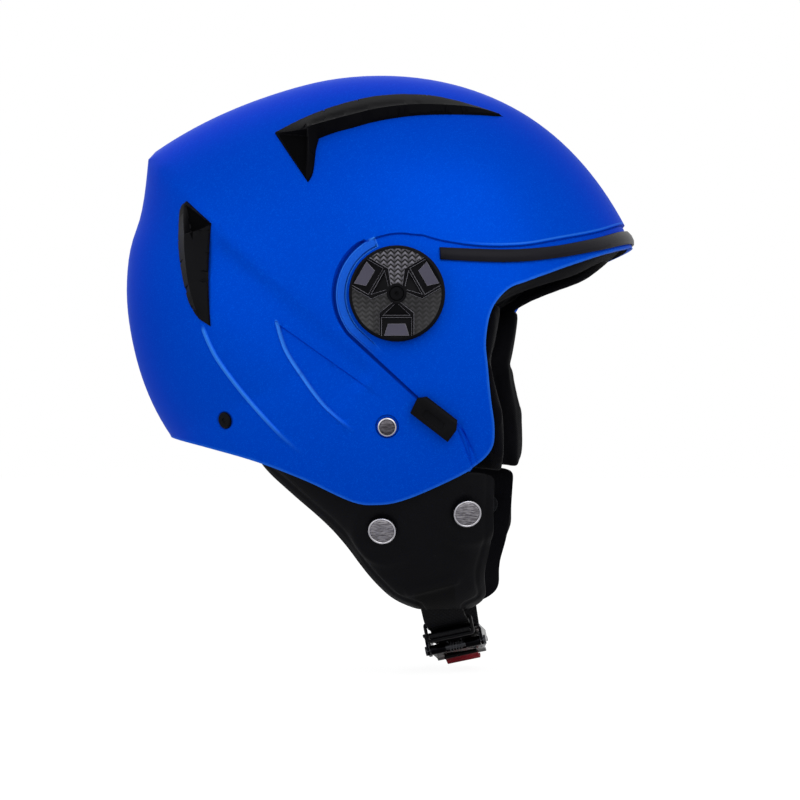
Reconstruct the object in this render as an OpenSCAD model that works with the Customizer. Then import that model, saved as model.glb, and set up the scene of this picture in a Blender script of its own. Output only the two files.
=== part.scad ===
// Open-face motorcycle helmet with drop-down ear flaps and a ratchet chin strap.
// Front towards +X, right side towards -Y, up +Z. The origin is the reference
// point inside the head: on the middle plane, just above and behind the ears.
// Surfaces are written from the side view: a place on the shell is an (x, z)
// pair, and skin_y() gives how far out the surface stands there.

/* [Shell] */
// Radius of the crown arc, seen from the side
crown_r = 148; // [144:1:152]
// Overall width of the shell
shell_w = 234; // [226:1:242]
// Wall of the shell
shell_t = 3.5; // [3:0.5:4.5]
// How far the tail spoiler stands out
tail_out = 14; // [8:1:18]
// How full the sides are: 2 is an ellipse, more is boxier
side_n = 2.3; // [2.1:0.05:2.5]
// Depth of the visor recess in the sides and brow
recess_d = 1.5; // [1:0.1:1.8]
// Radius of the recess round the pivot
recess_r = 32.5; // [31:0.5:35]
// Depth of the sunk panel and height of the rib behind it
crease_h = 1.2; // [0.6:0.1:1.6]

/* [Liner] */
// Thickness of the foam liner
foam_t = 22; // [18:1:26]
// Thickness of the fabric lining inside the foam
lining_t = 8; // [5:1:10]
// Thickness of a cheek pad with its foam core
cheek_t = 32; // [28:1:36]
// Thickness of the foam core in a cheek pad
core_t = 8; // [6:1:10]
// Thickness of the padded rolls at the brow and the nape
roll_t = 11; // [9:0.5:13]

/* [Pivot] */
// Diameter of the round pivot cover
cover_d = 50; // [48:1:54]
// Height of the pivot cover
cover_h = 5.5; // [5:0.5:8]
// Wall of the pivot cover
cover_t = 2; // [1.6:0.2:2.4]
// Diameter of the hub under the cover
hub_d = 20; // [16:1:24]
// How far the hub's lugs stand out
lug_out = 3; // [2:0.5:4]
// Turn that frees the cover, in degrees
cover_turn = 30; // [24:1:36]
// Thread diameter of the pivot screw
screw_d = 4; // [3:0.5:5]

/* [Trim] */
// Height of the black brow strip
strip_w = 7; // [5:0.5:8]
// Thickness of the brow strip
strip_t = 2.2; // [1.8:0.1:3]
// Height of the crown duct at its rear end
duct_h = 8; // [5:0.5:10]
// Height of the exhaust scoop at its mouth
scoop_h = 6; // [4:0.5:8]
// Length of the visor rest
rest_l = 27; // [24:1:30]
// Width of the visor rest
rest_w = 13; // [11:0.5:15]
// Height of the visor rest
rest_h = 4; // [3:0.5:6]
// Diameter of the rear plug
plug_d = 8.5; // [7:0.5:10]

/* [Ear flaps] */
// Thickness of an ear flap with the strap inside
flap_t = 10; // [9:0.5:12]
// Diameter of a snap cap on the flap
snap_d = 15; // [12:0.5:16]
// Diameter of the strap rivet's head
rivet_d = 10.5; // [8:0.5:12]
// Diameter of the strap rivet's shank
shank_d = 5; // [4:0.5:6]
// Thickness of the strap anchor plate
anchor_t = 1.5; // [1.2:0.1:2]

/* [Chin strap] */
// Width of the webbing
web_w = 22; // [20:0.5:23]
// Thickness of the webbing
web_t = 2; // [1.6:0.1:2.2]
// Width of the buckle frame over its side walls
buckle_w = 31; // [30:0.5:34]
// Length of the buckle frame
buckle_l = 42; // [40:1:46]
// Height of the buckle's side walls
wall_h = 9; // [8.5:0.5:11]
// Sheet that the buckle frame is pressed from
frame_t = 1.5; // [1.2:0.1:1.7]
// Width of the toothed tongue
tongue_w = 22; // [18:1:24]
// Thickness of the tongue without its teeth
tongue_t = 2.4; // [2:0.1:2.6]
// Height of a ratchet tooth
tooth_h = 1.1; // [0.8:0.1:1.2]
// Spacing of the ratchet teeth
tooth_pitch = 3.2; // [2.8:0.1:4]
// Diameter of the lever pin
pin_d = 3; // [2.5:0.1:3.2]
// Width of the pull tab
tab_w = 18; // [14:1:22]

/* [Hidden] */

shell_blue = "#0a3fd0";
plastic_black = "#17171a";
foam_black = "#26262a";
fabric_black = "#1d1d20";
leatherette = "#202024";
steel = "#b9bcc2";
tab_red = "#b01828";

// Gap between parts that lie against each other
seat = 0.4;
// Gap between a flat or finely faceted part and the shell's long facets
facet_gap = 1.2;
// Least gap beside a moving part
running = 0.3;
half_w = shell_w / 2;

// Corner of the tail, as an angle round the origin, and the angles over which it rises and falls
tail_a = 140.5;
tail_rise = 35.5;
tail_fall = 13;

// Outline of the body without its tail: [angle, radius less crown_r]
body_knots = [
    [-157, -23.5], [-130, -10], [-90, 20], [-50, 21], [-10, 5], [24, -1], [60, 1],
    [90, 1], [110, 2.5], [140, 4], [156, 1.5], [165, -3], [180, -12], [203, -23.5]
];

// Smooth value at t of a list of [place, value] knots
function knot_at(t, k, i = 0) = i >= len(k) - 2 || t < k[i + 1][0] ? i : knot_at(t, k, i + 1);
function knot_slope(k, i) =
    let (a = max(0, i - 1), b = min(len(k) - 1, i + 1))
    (k[b][1] - k[a][1]) / (k[b][0] - k[a][0]);
function smooth_value(t, k) =
    let (
        i = knot_at(t, k),
        w = k[i + 1][0] - k[i][0],
        u = (t - k[i][0]) / w,
        m0 = knot_slope(k, i) * w,
        m1 = knot_slope(k, i + 1) * w
    )
    (2*u^3 - 3*u^2 + 1) * k[i][1] + (u^3 - 2*u^2 + u) * m0
        + (3*u^2 - 2*u^3) * k[i + 1][1] + (u^3 - u^2) * m1;

// Angle brought into the span of the knots
function in_span(a) = a < -157 ? a + 360 : a > 203 ? a - 360 : a;

function tail_at(a) =
    a <= tail_a - tail_rise || a >= tail_a + tail_fall ? 0
    : a < tail_a ? ((a - tail_a + tail_rise) / tail_rise) ^ 2
    : (1 - (a - tail_a) / tail_fall) ^ 1.8;

// Radius of the side outline at angle a
function side_r(a) =
    let (b = in_span(a)) crown_r + smooth_value(b, body_knots) + tail_out * tail_at(b);

// How far out the surface stands at the side-view place p, grown outwards by off
function skin_y(p, off = 0) =
    let (q = min(1, norm(p) / (side_r(atan2(p[1], p[0])) + off)))
    (half_w + off) * (1 - q ^ side_n) ^ (1 / side_n);

// Point of the right side of the surface at the side-view place p
function skin(p, off = 0) = [p[0], -skin_y(p, off), p[1]];

// How full a point is: 1 on the surface grown by off, less inside it
function fullness(p, off) =
    (norm([p[0], p[2]]) / (side_r(atan2(p[2], p[0])) + off)) ^ side_n
        + (abs(p[1]) / (half_w + off)) ^ side_n;

// Distance from the upright axis to the surface at height z, in the direction psi from the front
function reach(psi, z, off, lo = 20, hi = 260, k = 22) =
    let (mid = (lo + hi) / 2)
    k == 0 ? mid
    : fullness([mid * cos(psi), mid * sin(psi), z], off) < 1 ? reach(psi, z, off, mid, hi, k - 1)
    : reach(psi, z, off, lo, mid, k - 1);
function belt_point(psi, z, off) =
    let (r = reach(psi, z, off)) [r * cos(psi), r * sin(psi), z];

// Angles of the body's sections, with extra ones at the corner of the tail
section_step = 9;
section_angles = concat(
    [tail_a, tail_a + 2.5, tail_a + 5.5, tail_a + 9, tail_a + tail_fall],
    [for (a = [tail_a + tail_fall + section_step : section_step : tail_a + 360 - section_step / 2]) a]
);
rings = 18;

// Solid body of the helmet, grown outwards by off
module body(off = 0) {
    n = len(section_angles);
    rows = [
        for (j = [1 : rings - 1])
            let (t = -90 + 180 * j / rings, rho = cos(t))
            [for (a = section_angles)
                let (r = (side_r(a) + off) * rho)
                [r * cos(a), sign(t) * (half_w + off) * (1 - rho ^ side_n) ^ (1 / side_n), r * sin(a)]]
    ];
    points = concat([[0, -half_w - off, 0]], [for (row = rows) each row], [[0, half_w + off, 0]]);
    last = len(points) - 1;
    faces = concat(
        [for (i = [0 : n - 1]) [0, 1 + (i + 1) % n, 1 + i]],
        [for (j = [0 : rings - 3], i = [0 : n - 1])
            let (a = 1 + j * n + i, b = 1 + j * n + (i + 1) % n) each [[a, b, a + n], [b, b + n, a + n]]],
        [for (i = [0 : n - 1]) [last, last - n + i, last - n + (i + 1) % n]]
    );
    polyhedron(points, faces);
}

// Keeps a part that is cut from the body as one closed mesh
module one_mesh() resize([0, 0, 0]) children();

// Closed slab between two grids of points, each [rows][columns], the second one farther out
module slab(inner, outer) {
    m = len(inner);
    n = len(inner[0]);
    k = m * n;
    points = concat([for (row = inner) each row], [for (row = outer) each row]);
    sheet = [for (i = [0 : m - 2], j = [0 : n - 2])
        [i * n + j, i * n + j + 1, (i + 1) * n + j + 1, (i + 1) * n + j]];
    rim = concat(
        [for (j = [0 : n - 2]) [j, j + 1]],
        [for (i = [0 : m - 2]) [i * n + n - 1, (i + 1) * n + n - 1]],
        [for (j = [n - 1 : -1 : 1]) [(m - 1) * n + j, (m - 1) * n + j - 1]],
        [for (i = [m - 1 : -1 : 1]) [i * n, (i - 1) * n]]
    );
    faces = concat(
        [for (f = sheet) each [[f[0], f[1], f[2]], [f[0], f[2], f[3]]]],
        [for (f = sheet) each [[k + f[0], k + f[2], k + f[1]], [k + f[0], k + f[3], k + f[2]]]],
        [for (e = rim) each [[e[0], k + e[0], k + e[1]], [e[0], k + e[1], e[1]]]]
    );
    polyhedron(points, faces);
}

// Side-view grid between two rails with the same number of points; u runs from rail a to rail b
function between(a, b, columns) =
    [for (i = [0 : len(a) - 1]) [for (j = [0 : columns]) a[i] + (b[i] - a[i]) * j / columns]];

// Slab on the right side of the body between two rails; the offsets are functions of u and v
module side_slab(a, b, columns, inner, outer) {
    grid = between(a, b, columns);
    rows = len(grid) - 1;
    slab(
        [for (i = [rows : -1 : 0]) [for (j = [0 : columns]) skin(grid[i][j], inner(j / columns, i / rows))]],
        [for (i = [rows : -1 : 0]) [for (j = [0 : columns]) skin(grid[i][j], outer(j / columns, i / rows))]]
    );
}

// Smooth curve through hand-chosen points
function curve(p, steps = 4) = concat(
    [for (i = [0 : len(p) - 2], s = [0 : steps - 1])
        let (
            u = s / steps,
            a = p[max(0, i - 1)], b = p[i], c = p[i + 1], d = p[min(len(p) - 1, i + 2)]
        )
        0.5 * (2*b + (c - a) * u + (2*a - 5*b + 4*c - d) * u^2 + (3*b - a - 3*c + d) * u^3)],
    [p[len(p) - 1]]
);

// Side-view outline pushed through the whole width
module through(outline) rotate([90, 0, 0]) linear_extrude(height = 400, center = true) polygon(outline);

// Both a right-hand part and its mirror image
module both() {
    children();
    mirror([0, 1, 0]) children();
}

// Sets parts on the right side at p: +Z points out of the surface, +X forwards
module on_side(p, off = 0) {
    sx = (skin_y(p + [1, 0], off) - skin_y(p - [1, 0], off)) / 2;
    sz = (skin_y(p + [0, 1], off) - skin_y(p - [0, 1], off)) / 2;
    translate(skin(p, off)) rotate([90, 0, 0]) rotate(a = atan(norm([sx, sz])), v = [sz, -sx, 0]) children();
}

// Flat rounded bar with true arcs at its corners
module rounded(w, l, r) {
    square([w - 2 * r, l], center = true);
    square([w, l - 2 * r], center = true);
    for (x = [-1, 1], y = [-1, 1]) translate([x * (w / 2 - r), y * (l / 2 - r)]) circle(r, $fn = 32);
}

// Places on the side view
pivot = [16, 28];
rivet_at = [10.5, -41];
plug_at = [-77, -38];
snaps_at = [[6.5, -95.5], [51, -86.5]];
rest_at = [35, -36.5];
rest_angle = -38;

// Reach of the cutting outlines past the whole helmet
beyond = 190;
// Lower edge of the shell from the brow, round the face opening and the ear, to the nape
shell_edge = curve([
    [150, 61], [135.5, 55.5], [121.5, 50.3], [104, 43.5], [85, 36], [73.5, 31], [65, 20], [62, 4],
    [63, -10], [64.5, -26.5], [66.3, -42], [64.5, -53.5], [54.5, -63], [36, -72.5], [18, -79.8], [5, -82],
    [-8.5, -80.5], [-33, -69.5], [-59, -60], [-86, -53], [-110.5, -48], [-150, -41]
], 3);
shell_outline = concat(shell_edge, [
    [-beyond, 0], [-beyond, beyond], [beyond, beyond], [beyond, shell_edge[0][1]]
]);

// Edge of the visor recess: brow ledge, round the pivot, down to the visor rest and the rim
recess_edge = concat(
    curve([[150, 76], [135.5, 70], [119, 62.5], [98.5, 57.5], [79.5, 53.9], [58.5, 53.5], [40, 56], [29, 59]]),
    [for (a = [78 : 12 : 222]) pivot + recess_r * [cos(a), sin(a)]],
    curve([[29.5, -28], [47.5, -41.5], [52.5, -53.5], [55.5, -71.5]])
);
module visor_recess() difference() {
    through(concat(recess_edge, [[beyond, -72], [beyond, 76]]));
    body(-recess_d);
}

// Sunk three-cornered panel on the flank, and the rib behind it
flank_panel = concat(
    curve([[-47.5, 14], [-29.7, -1.2], [-13.9, -15.8], [9.5, -29.8], [17, -34]]),
    curve([[8, -47], [-5.2, -44.4], [-14.1, -35.1], [-27.1, -19.4], [-40.3, 1.4]])
);
module sunk_panel() difference() {
    through(flank_panel);
    body(-crease_h);
}
rib_line = curve([[-88, 12.2], [-75.9, -8.9], [-59.7, -32.5], [-43.7, -50.8], [-30.5, -62.8]]);
rib_w = 2.6;
module flank_rib() difference() {
    intersection() {
        through(concat(rib_line, [for (i = [len(rib_line) - 1 : -1 : 0])
            rib_line[i] + rib_w * sin(180 * (i + 0.5) / len(rib_line)) * [0.8, 0.6]]));
        body(crease_h);
    }
    body(-shell_t / 2);
}

// Holes through the shell and the foam for the fasteners
module side_holes() both() {
    on_side(rivet_at) {
        cylinder(d = shank_d + 2 * seat, h = 30, center = true, $fn = 20);
        translate([0, 0, -0.8]) cylinder(d = rivet_d + 2, h = 10, $fn = 20);
    }
    on_side(plug_at) {
        cylinder(d = 5, h = 16, center = true, $fn = 16);
        translate([0, 0, -1]) cylinder(d = plug_d + 1.4, h = 10, $fn = 20);
    }
    at_pivot(0) cylinder(d = screw_d + 2 * seat, h = 200, $fn = 24);
}
module foam_pockets() both() {
    on_side(plug_at) cylinder(d = plug_d, h = 4 * shell_t, center = true, $fn = 20);
    at_pivot(0) {
        cylinder(d = screw_d + 2 * seat, h = 200, $fn = 24);
        translate([0, 0, skin_y(pivot) - shell_t - facet_gap - nut_t - barrel_h - seat])
            cylinder(d = nut_d + 2 * seat, h = 30, $fn = 20);
    }
}

module outer_shell() color(shell_blue) one_mesh() difference() {
    intersection() {
        union() {
            difference() {
                body(0);
                visor_recess();
                sunk_panel();
                both() at_pivot(seat_h - 1) cylinder(d = seat_d, h = 20, $fn = 32);
            }
            flank_rib();
            // flat seats for the pivots
            both() at_pivot(half_w / 2) cylinder(d = seat_d + 1, h = seat_h - half_w / 2, $fn = 32);
        }
        through(shell_outline);
    }
    body(-shell_t);
    side_holes();
}

// Foam: over the dome and down the back, open at the cheeks
foam_out = shell_t + seat;
foam_edge = curve([
    [150, 68], [134.5, 62], [122.5, 55.5], [104.5, 49.5], [86, 43.5], [74, 36.5], [60, 26],
    [39.5, 18.5], [14, 16], [-8, 14], [-18, 2.5], [-19.5, -19.5], [-22, -38], [-27, -49], [-40, -50],
    [-60, -42.5], [-87, -36], [-150, -22]
], 2);
foam_outline = concat(foam_edge, [
    [-beyond, 0], [-beyond, beyond], [beyond, beyond], [beyond, foam_edge[0][1]]
]);
module eps_liner() color(foam_black) one_mesh() difference() {
    intersection() {
        body(-foam_out);
        through(foam_outline);
    }
    body(-foam_out - foam_t);
    foam_pockets();
}

// Fabric lining on the inside of the foam
lining_out = foam_out + foam_t + seat;
lining_edge = curve([
    [150, 74], [122, 63], [104, 57], [86, 51], [74, 45], [60, 34], [40, 26], [14, 24], [-12, 21],
    [-24, 6], [-27, -20], [-30, -36], [-40, -43], [-60, -36], [-86, -29], [-150, -14]
], 2);
module crown_lining() color(fabric_black) one_mesh() difference() {
    intersection() {
        body(-lining_out);
        through(concat(lining_edge, [
            [-beyond, 0], [-beyond, beyond], [beyond, beyond], [beyond, lining_edge[0][1]]
        ]));
    }
    body(-lining_out - lining_t);
}

// Belt round the upright axis, symmetrical about the direction middle; low and high give the
// edges' heights by the angle from there, the inner face's top lies lower by drop, and the
// offsets are functions of v, upwards
module belt(middle, half_angle, low, high, drop, columns, rows, inner, outer) {
    angles = [for (j = [0 : columns]) -half_angle + 2 * half_angle * j / columns];
    function height_at(a, v) = smooth_value(abs(a), low) * (1 - v) + smooth_value(abs(a), high) * v;
    slab(
        [for (i = [0 : rows]) let (v = i / rows)
            [for (a = angles) belt_point(middle + a, height_at(a, v) - drop[0] - drop[1] * v, inner(v))]],
        [for (i = [0 : rows]) let (v = i / rows)
            [for (a = angles) belt_point(middle + a, height_at(a, v), outer(v))]]
    );
}

// How far a soft part swells between its edges, from 0 at u = 0 or 1 to 1 inside
function swell(u, steep) = min(1, steep * sin(180 * u));

soft_out = shell_t + facet_gap;
module brow_roll() color(leatherette) belt(
    0, 57,
    [[0, 51.5], [10, 50.5], [20, 47], [30, 41], [36.5, 38], [41.3, 35.5], [47.7, 31.5], [51.4, 28.5],
        [54.4, 25], [57, 21.5]],
    [[0, 58], [10, 57.3], [20, 54.5], [30, 49.8], [36.5, 46.5], [41.3, 43.5], [47.7, 38.5], [51.4, 34.5],
        [54.4, 30.5], [57, 26.5]],
    [3.5, 3], 24, 4,
    function(v) -soft_out - roll_t - 3 * swell(0.15 + 0.7 * v, 1),
    function(v) -soft_out - 8 * (1 - v) ^ 1.5
);
module neck_roll() color(leatherette) belt(
    180, 49,
    [[0, -45], [30, -49], [43, -52], [52, -55], [58, -58]],
    [[0, -29], [30, -34], [43, -38], [52, -42], [58, -46]],
    [0, 7], 24, 4,
    function(v) -soft_out - roll_t - 4 * swell(0.15 + 0.7 * v, 1),
    function(v) -soft_out - 3 * (1 - v) ^ 2
);

// Cheek pads: a foam core clipped behind the strap's run, and a padded cover with a front roll
strap_space = anchor_t + web_t + 2.5;
core_out = soft_out + strap_space;
pad_edge = 2.5;
module cheek_core() color(foam_black) side_slab(
    curve([[-9, 6], [-11, -10], [-11, -35], [-8, -54]], 3),
    curve([[52, 6], [50, -10], [53, -38], [54, -58]], 3),
    8,
    function(u, v) -core_out - core_t,
    function(u, v) -core_out
);
module cheek_pad() color(leatherette) side_slab(
    curve([[-12, 11], [-13.2, 2], [-14, -8], [-14, -19], [-13.8, -32], [-12, -46], [-9, -60]], 2),
    curve([[68, 15.5], [66.4, 5], [64.8, -7], [65.8, -17], [68.6, -31], [69.8, -47], [69.4, -66]], 2),
    14,
    function(u, v) -core_out - core_t - pad_edge
        - (cheek_t + shell_t - core_out - core_t - pad_edge)
            * swell(0.05 + 0.9 * u, 1.6) * swell(0.06 + 0.88 * v, 1.6),
    function(u, v) -core_out - core_t - seat
        + (core_out - soft_out + core_t + seat) * min(1, max(0, (u - 0.86) * 12)) * swell(0.04 + 0.92 * v, 4)
);
module cheek_core_right() cheek_core();
module cheek_core_left() mirror([0, 1, 0]) cheek_core();
module cheek_pad_right() cheek_pad();
module cheek_pad_left() mirror([0, 1, 0]) cheek_pad();

// Black strip in the visor recess over the brow
module brow_strip() color(plastic_black) belt(
    0, 71,
    [[0, 57.4], [15, 55.8], [29, 51.6], [41.5, 47.3], [52, 44.9], [62, 45], [71, 46]],
    [[0, 57.4 + strip_w], [15, 55.6 + strip_w], [29, 51 + strip_w], [41.5, 46.6 + strip_w],
        [52, 44.6 + strip_w], [62, 44.7 + strip_w], [71, 45.4 + strip_w]],
    [0, 0], 36, 3,
    function(v) -recess_d + running,
    function(v) -recess_d + running + strip_t * (0.55 + 0.45 * swell(v, 3))
);

// Crown duct: a low roofed fairing, highest at its rear mouth
module crown_duct() color(plastic_black) side_slab(
    curve([[-31, 88], [-29, 104], [-20, 113.5], [-4, 119], [14, 122.3], [35, 124], [50, 124],
        [66, 122.6]], 2),
    curve([[-52, 114], [-45, 117.5], [-34, 122.8], [-18.6, 129], [2, 133], [23, 133.9], [42, 131],
        [66.5, 124]], 2),
    4,
    function(u, v) running,
    function(u, v) running + 0.8 + duct_h * (1 - 0.8 * v) * (u == 0 ? 0.1 : u == 1 ? 0.05 : 1 - abs(u - 0.5))
);
module crown_duct_right() crown_duct();
module crown_duct_left() mirror([0, 1, 0]) crown_duct();

// Exhaust scoop: a wedge that stands out towards its rear mouth
module exhaust_vent() color(plastic_black) side_slab(
    curve([[-99, 77.5], [-102.8, 62], [-100.4, 46.7], [-95.4, 30.7], [-89.7, 16]], 3),
    curve([[-84.5, 66.3], [-85, 56.9], [-86.5, 43], [-86, 27], [-84, 12]], 3),
    4,
    function(u, v) running,
    function(u, v) running + 0.8 + scoop_h * (1 - u) * (0.45 + 0.55 * sin(180 * v))
);
module exhaust_vent_right() exhaust_vent();
module exhaust_vent_left() mirror([0, 1, 0]) exhaust_vent();

module rear_plugs() color(plastic_black) both() on_side(plug_at) rotate_extrude($fn = 48) polygon([
    [0, -shell_t - 2], [1.8, -shell_t - 2], [1.8, -0.6], [plug_d / 2, -0.6],
    [plug_d / 2, 0.3], [plug_d / 2 - 0.6, 0.8], [1.4, 0.8], [1.1, 0.3], [0, 0.3]
]);

// Pivot: flat seat on the shell, base plate, bayonet hub, cover, screw and tee nut, all about one axis
seat_h = skin_y(pivot) - 0.9;
seat_d = 43;
base_t = 1.5;
nut_d = 12;
nut_t = 1.6;
barrel_h = 4;
lug_a = cover_turn - 4;
lug_t = 1.4;
claw_t = 0.9;
hub_h = lug_t + claw_t + 2 * running + 0.4;
hub_z = seat_h + 0.1 + base_t;
cover_z = hub_z + running;
module at_pivot(h) translate([pivot[0], -h, pivot[1]]) rotate([90, 0, 0]) children();

// Ring sector of the given height, centred on the angle a
module sector(r1, r2, a, spread, h) rotate(a - spread / 2) rotate_extrude(angle = spread, $fn = 96)
    translate([r1, 0]) square([r2 - r1, h]);

lobe_angles = [30, 150, 270];
module pivot_base() color(plastic_black) at_pivot(seat_h + 0.1) difference() {
    cylinder(d = seat_d - 2, h = base_t, $fn = 96);
    translate([0, 0, -1]) cylinder(d = screw_d + seat, h = base_t + 2, $fn = 48);
    for (a = lobe_angles) translate([0, 0, base_t - 0.6])
        sector(hub_d / 2 + lug_out + 3, hub_d / 2 + lug_out + 5, a + 60, 50, 2);
}
module pivot_hub() color(plastic_black) at_pivot(hub_z) difference() {
    union() {
        cylinder(d = hub_d, h = hub_h, $fn = 96);
        for (a = lobe_angles) translate([0, 0, hub_h - lug_t])
            sector(hub_d / 2 - 1, hub_d / 2 + lug_out, a, lug_a, lug_t);
    }
    translate([0, 0, -1]) cylinder(d = screw_d + seat, h = hub_h + 2, $fn = 48);
}
head_d = screw_d * 1.7;
head_h = 2;
sleeve_r = hub_d / 2 + lug_out + running;
lobe_r = 11.3;
lobe_w = 18;
line_w = 1.2;
cover_rim = 1.6;
pattern_depth = 0.8;
// Lobe between two fans, from the hub out to the rim
module lobe() polygon([
    [4.4, -1.8], [lobe_r - line_w, -lobe_w / 2], [cover_d / 2, -lobe_w / 2],
    [cover_d / 2, lobe_w / 2], [lobe_r - line_w, lobe_w / 2], [4.4, 1.8]
]);
// Three-cornered pocket in a lobe, and the field round its outer pad
module lobe_fields() {
    polygon([[5.6, -1], [lobe_r, 1.6 * line_w - lobe_w / 2], [lobe_r, lobe_w / 2 - 1.6 * line_w], [5.6, 1]]);
    difference() {
        polygon([
            [lobe_r + line_w, line_w - lobe_w / 2], [cover_d / 2, line_w - lobe_w / 2],
            [cover_d / 2, lobe_w / 2 - line_w], [lobe_r + line_w, lobe_w / 2 - line_w]
        ]);
        polygon([
            [lobe_r + 4.5, -4.5], [cover_d / 2 - 2 * cover_rim, -6.4],
            [cover_d / 2 - 2 * cover_rim, 6.4], [lobe_r + 4.5, 4.5]
        ]);
    }
}
module cover_pattern() translate([0, 0, cover_h - pattern_depth]) linear_extrude(2) difference() {
    circle(r = cover_d / 2 - cover_rim, $fn = 96);
    for (a = lobe_angles) rotate(a) difference() {
        lobe();
        lobe_fields();
    }
    circle(d = head_d + 1 + 2 * line_w, $fn = 48);
}
module pivot_cover() color(plastic_black) at_pivot(cover_z) {
    difference() {
        rotate_extrude($fn = 96) polygon([
            [0, 0], [cover_d / 2 - 0.6, 0], [cover_d / 2, 0.8], [cover_d / 2, cover_h - 1.4],
            [cover_d / 2 - 1.2, cover_h], [0, cover_h]
        ]);
        // hollow under the face, apart from the sleeve round the hub
        translate([0, 0, -1]) difference() {
            cylinder(r = cover_d / 2 - cover_t, h = 1 + cover_h - cover_t, $fn = 96);
            cylinder(r = sleeve_r + cover_t, h = 1 + cover_h - cover_t, $fn = 96);
        }
        translate([0, 0, -1]) cylinder(r = sleeve_r, h = 1 + cover_h - cover_t, $fn = 96);
        cylinder(d = head_d + 1, h = cover_h + 1, $fn = 48);
        cover_pattern();
    }
    for (a = lobe_angles) sector(hub_d / 2 + running, sleeve_r + cover_t / 2, a, lug_a, claw_t);
}
module pivot_screw() at_pivot(hub_z + hub_h) difference() {
    union() {
        translate([0, 0, -(hub_h + base_t + shell_t + nut_t + facet_gap + barrel_h)])
            cylinder(d = screw_d, h = hub_h + base_t + shell_t + nut_t + facet_gap + barrel_h, $fn = 48);
        cylinder(d = head_d, h = head_h, $fn = 48);
    }
    translate([0, 0, head_h - 1.2]) cylinder(d = screw_d * 0.6, h = 2, $fn = 6);
}
module pivot_nut() at_pivot(skin_y(pivot) - shell_t - facet_gap - nut_t) difference() {
    union() {
        cylinder(d = nut_d, h = nut_t, $fn = 48);
        translate([0, 0, -barrel_h]) cylinder(d = screw_d + 2.4, h = barrel_h + nut_t / 2, $fn = 48);
    }
    translate([0, 0, -barrel_h - 1]) cylinder(d = screw_d + 0.2, h = barrel_h + nut_t + 2, $fn = 48);
}
module pivot_base_right() pivot_base();
module pivot_base_left() mirror([0, 1, 0]) pivot_base();
module pivot_hub_right() pivot_hub();
module pivot_hub_left() mirror([0, 1, 0]) pivot_hub();
module pivot_cover_right() pivot_cover();
module pivot_cover_left() mirror([0, 1, 0]) pivot_cover();
module pivot_screws() color(steel) both() pivot_screw();
module pivot_nuts() color(steel) both() pivot_nut();

// Visor rest: a bevelled block beside the edge of the recess, clear of the curved shell at its ends
rest_gap = 0.8;
rest_cut = 3.5;
module visor_rest() color(plastic_black) on_side(rest_at) rotate(rest_angle) difference() {
    translate([0, 0, rest_gap]) linear_extrude(rest_h) polygon([
        [1.8 - rest_l / 2, 1 - rest_w / 2], [rest_l / 2 - 0.6, 1 - rest_w / 2],
        [rest_l / 2 - 0.8, rest_w / 2 - rest_cut - 0.8], [rest_l / 2 - rest_cut, rest_w / 2],
        [rest_cut - rest_l / 2, rest_w / 2], [-rest_l / 2, rest_w / 2 - rest_cut]
    ]);
    translate([0, rest_w / 2, rest_gap + rest_h]) rotate([45, 0, 0])
        cube([rest_l + 2, 2.4, 2.4], center = true);
    translate([0, -1, rest_gap + rest_h - 0.8]) linear_extrude(2)
        rounded(rest_l - 4 * rest_cut, rest_w - 2.4 * rest_cut, 1.5);
}
module visor_rest_right() visor_rest();
module visor_rest_left() mirror([0, 1, 0]) visor_rest();

// Strap anchors
plate_z = -shell_t - facet_gap - anchor_t;
module anchor_plates() color(steel) both() on_side(rivet_at) translate([0, 0, plate_z]) difference() {
    translate([0, -5, 0]) linear_extrude(anchor_t) rounded(28, 22, 4);
    translate([0, 0, -1]) cylinder(d = shank_d + seat, h = anchor_t + 2, $fn = 48);
}
module strap_rivets() color(steel) both() on_side(rivet_at) rotate_extrude($fn = 64) polygon([
    [0, plate_z - 0.9], [shank_d / 2 + 1.2, plate_z - 0.9], [shank_d / 2 + 1.2, plate_z - 0.1],
    [shank_d / 2, plate_z - 0.1], [shank_d / 2, -0.5], [rivet_d / 2, -0.5], [rivet_d / 2, 0.3],
    [rivet_d / 2 * 0.85, 1.1], [rivet_d / 2 * 0.5, 1.7], [0, 1.9]
]);

// Ear flap: two padded panels sewn at their edges round the strap
flap_mid = soft_out + flap_t / 2;
flap_rear = curve([[-64, -52], [-58, -63], [-45, -74], [-32, -85], [-21, -95], [-12, -106], [-5, -117],
    [4, -127.5], [11, -134], [22, -138.5]], 1);
flap_front = curve([[66, -66], [65.4, -73], [64.8, -84], [63.7, -95], [62.2, -106], [58.9, -116.5],
    [58.4, -123.5], [59.2, -129.5], [57, -134.5], [50, -138.5]], 1);
function sleeve(u) = 0.2 + (web_t / 2 + facet_gap) * swell(u, 2.2);
function panel(u, v) =
    0.6 + (flap_t / 2 - web_t / 2 - facet_gap - 0.8) * swell(u, 3) * min(1, 0.3 + 5 * (1 - v));
module ear_flap() color(leatherette) side_slab(
    flap_rear, flap_front, 10,
    function(u, v) -flap_mid + sleeve(u),
    function(u, v) -flap_mid + sleeve(u) + panel(u, v)
);
module flap_lining() color(fabric_black) side_slab(
    flap_rear, flap_front, 10,
    function(u, v) -flap_mid - sleeve(u) - panel(u, v),
    function(u, v) -flap_mid - sleeve(u)
);
module ear_flap_right() ear_flap();
module ear_flap_left() mirror([0, 1, 0]) ear_flap();
module flap_lining_right() flap_lining();
module flap_lining_left() mirror([0, 1, 0]) flap_lining();

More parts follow.
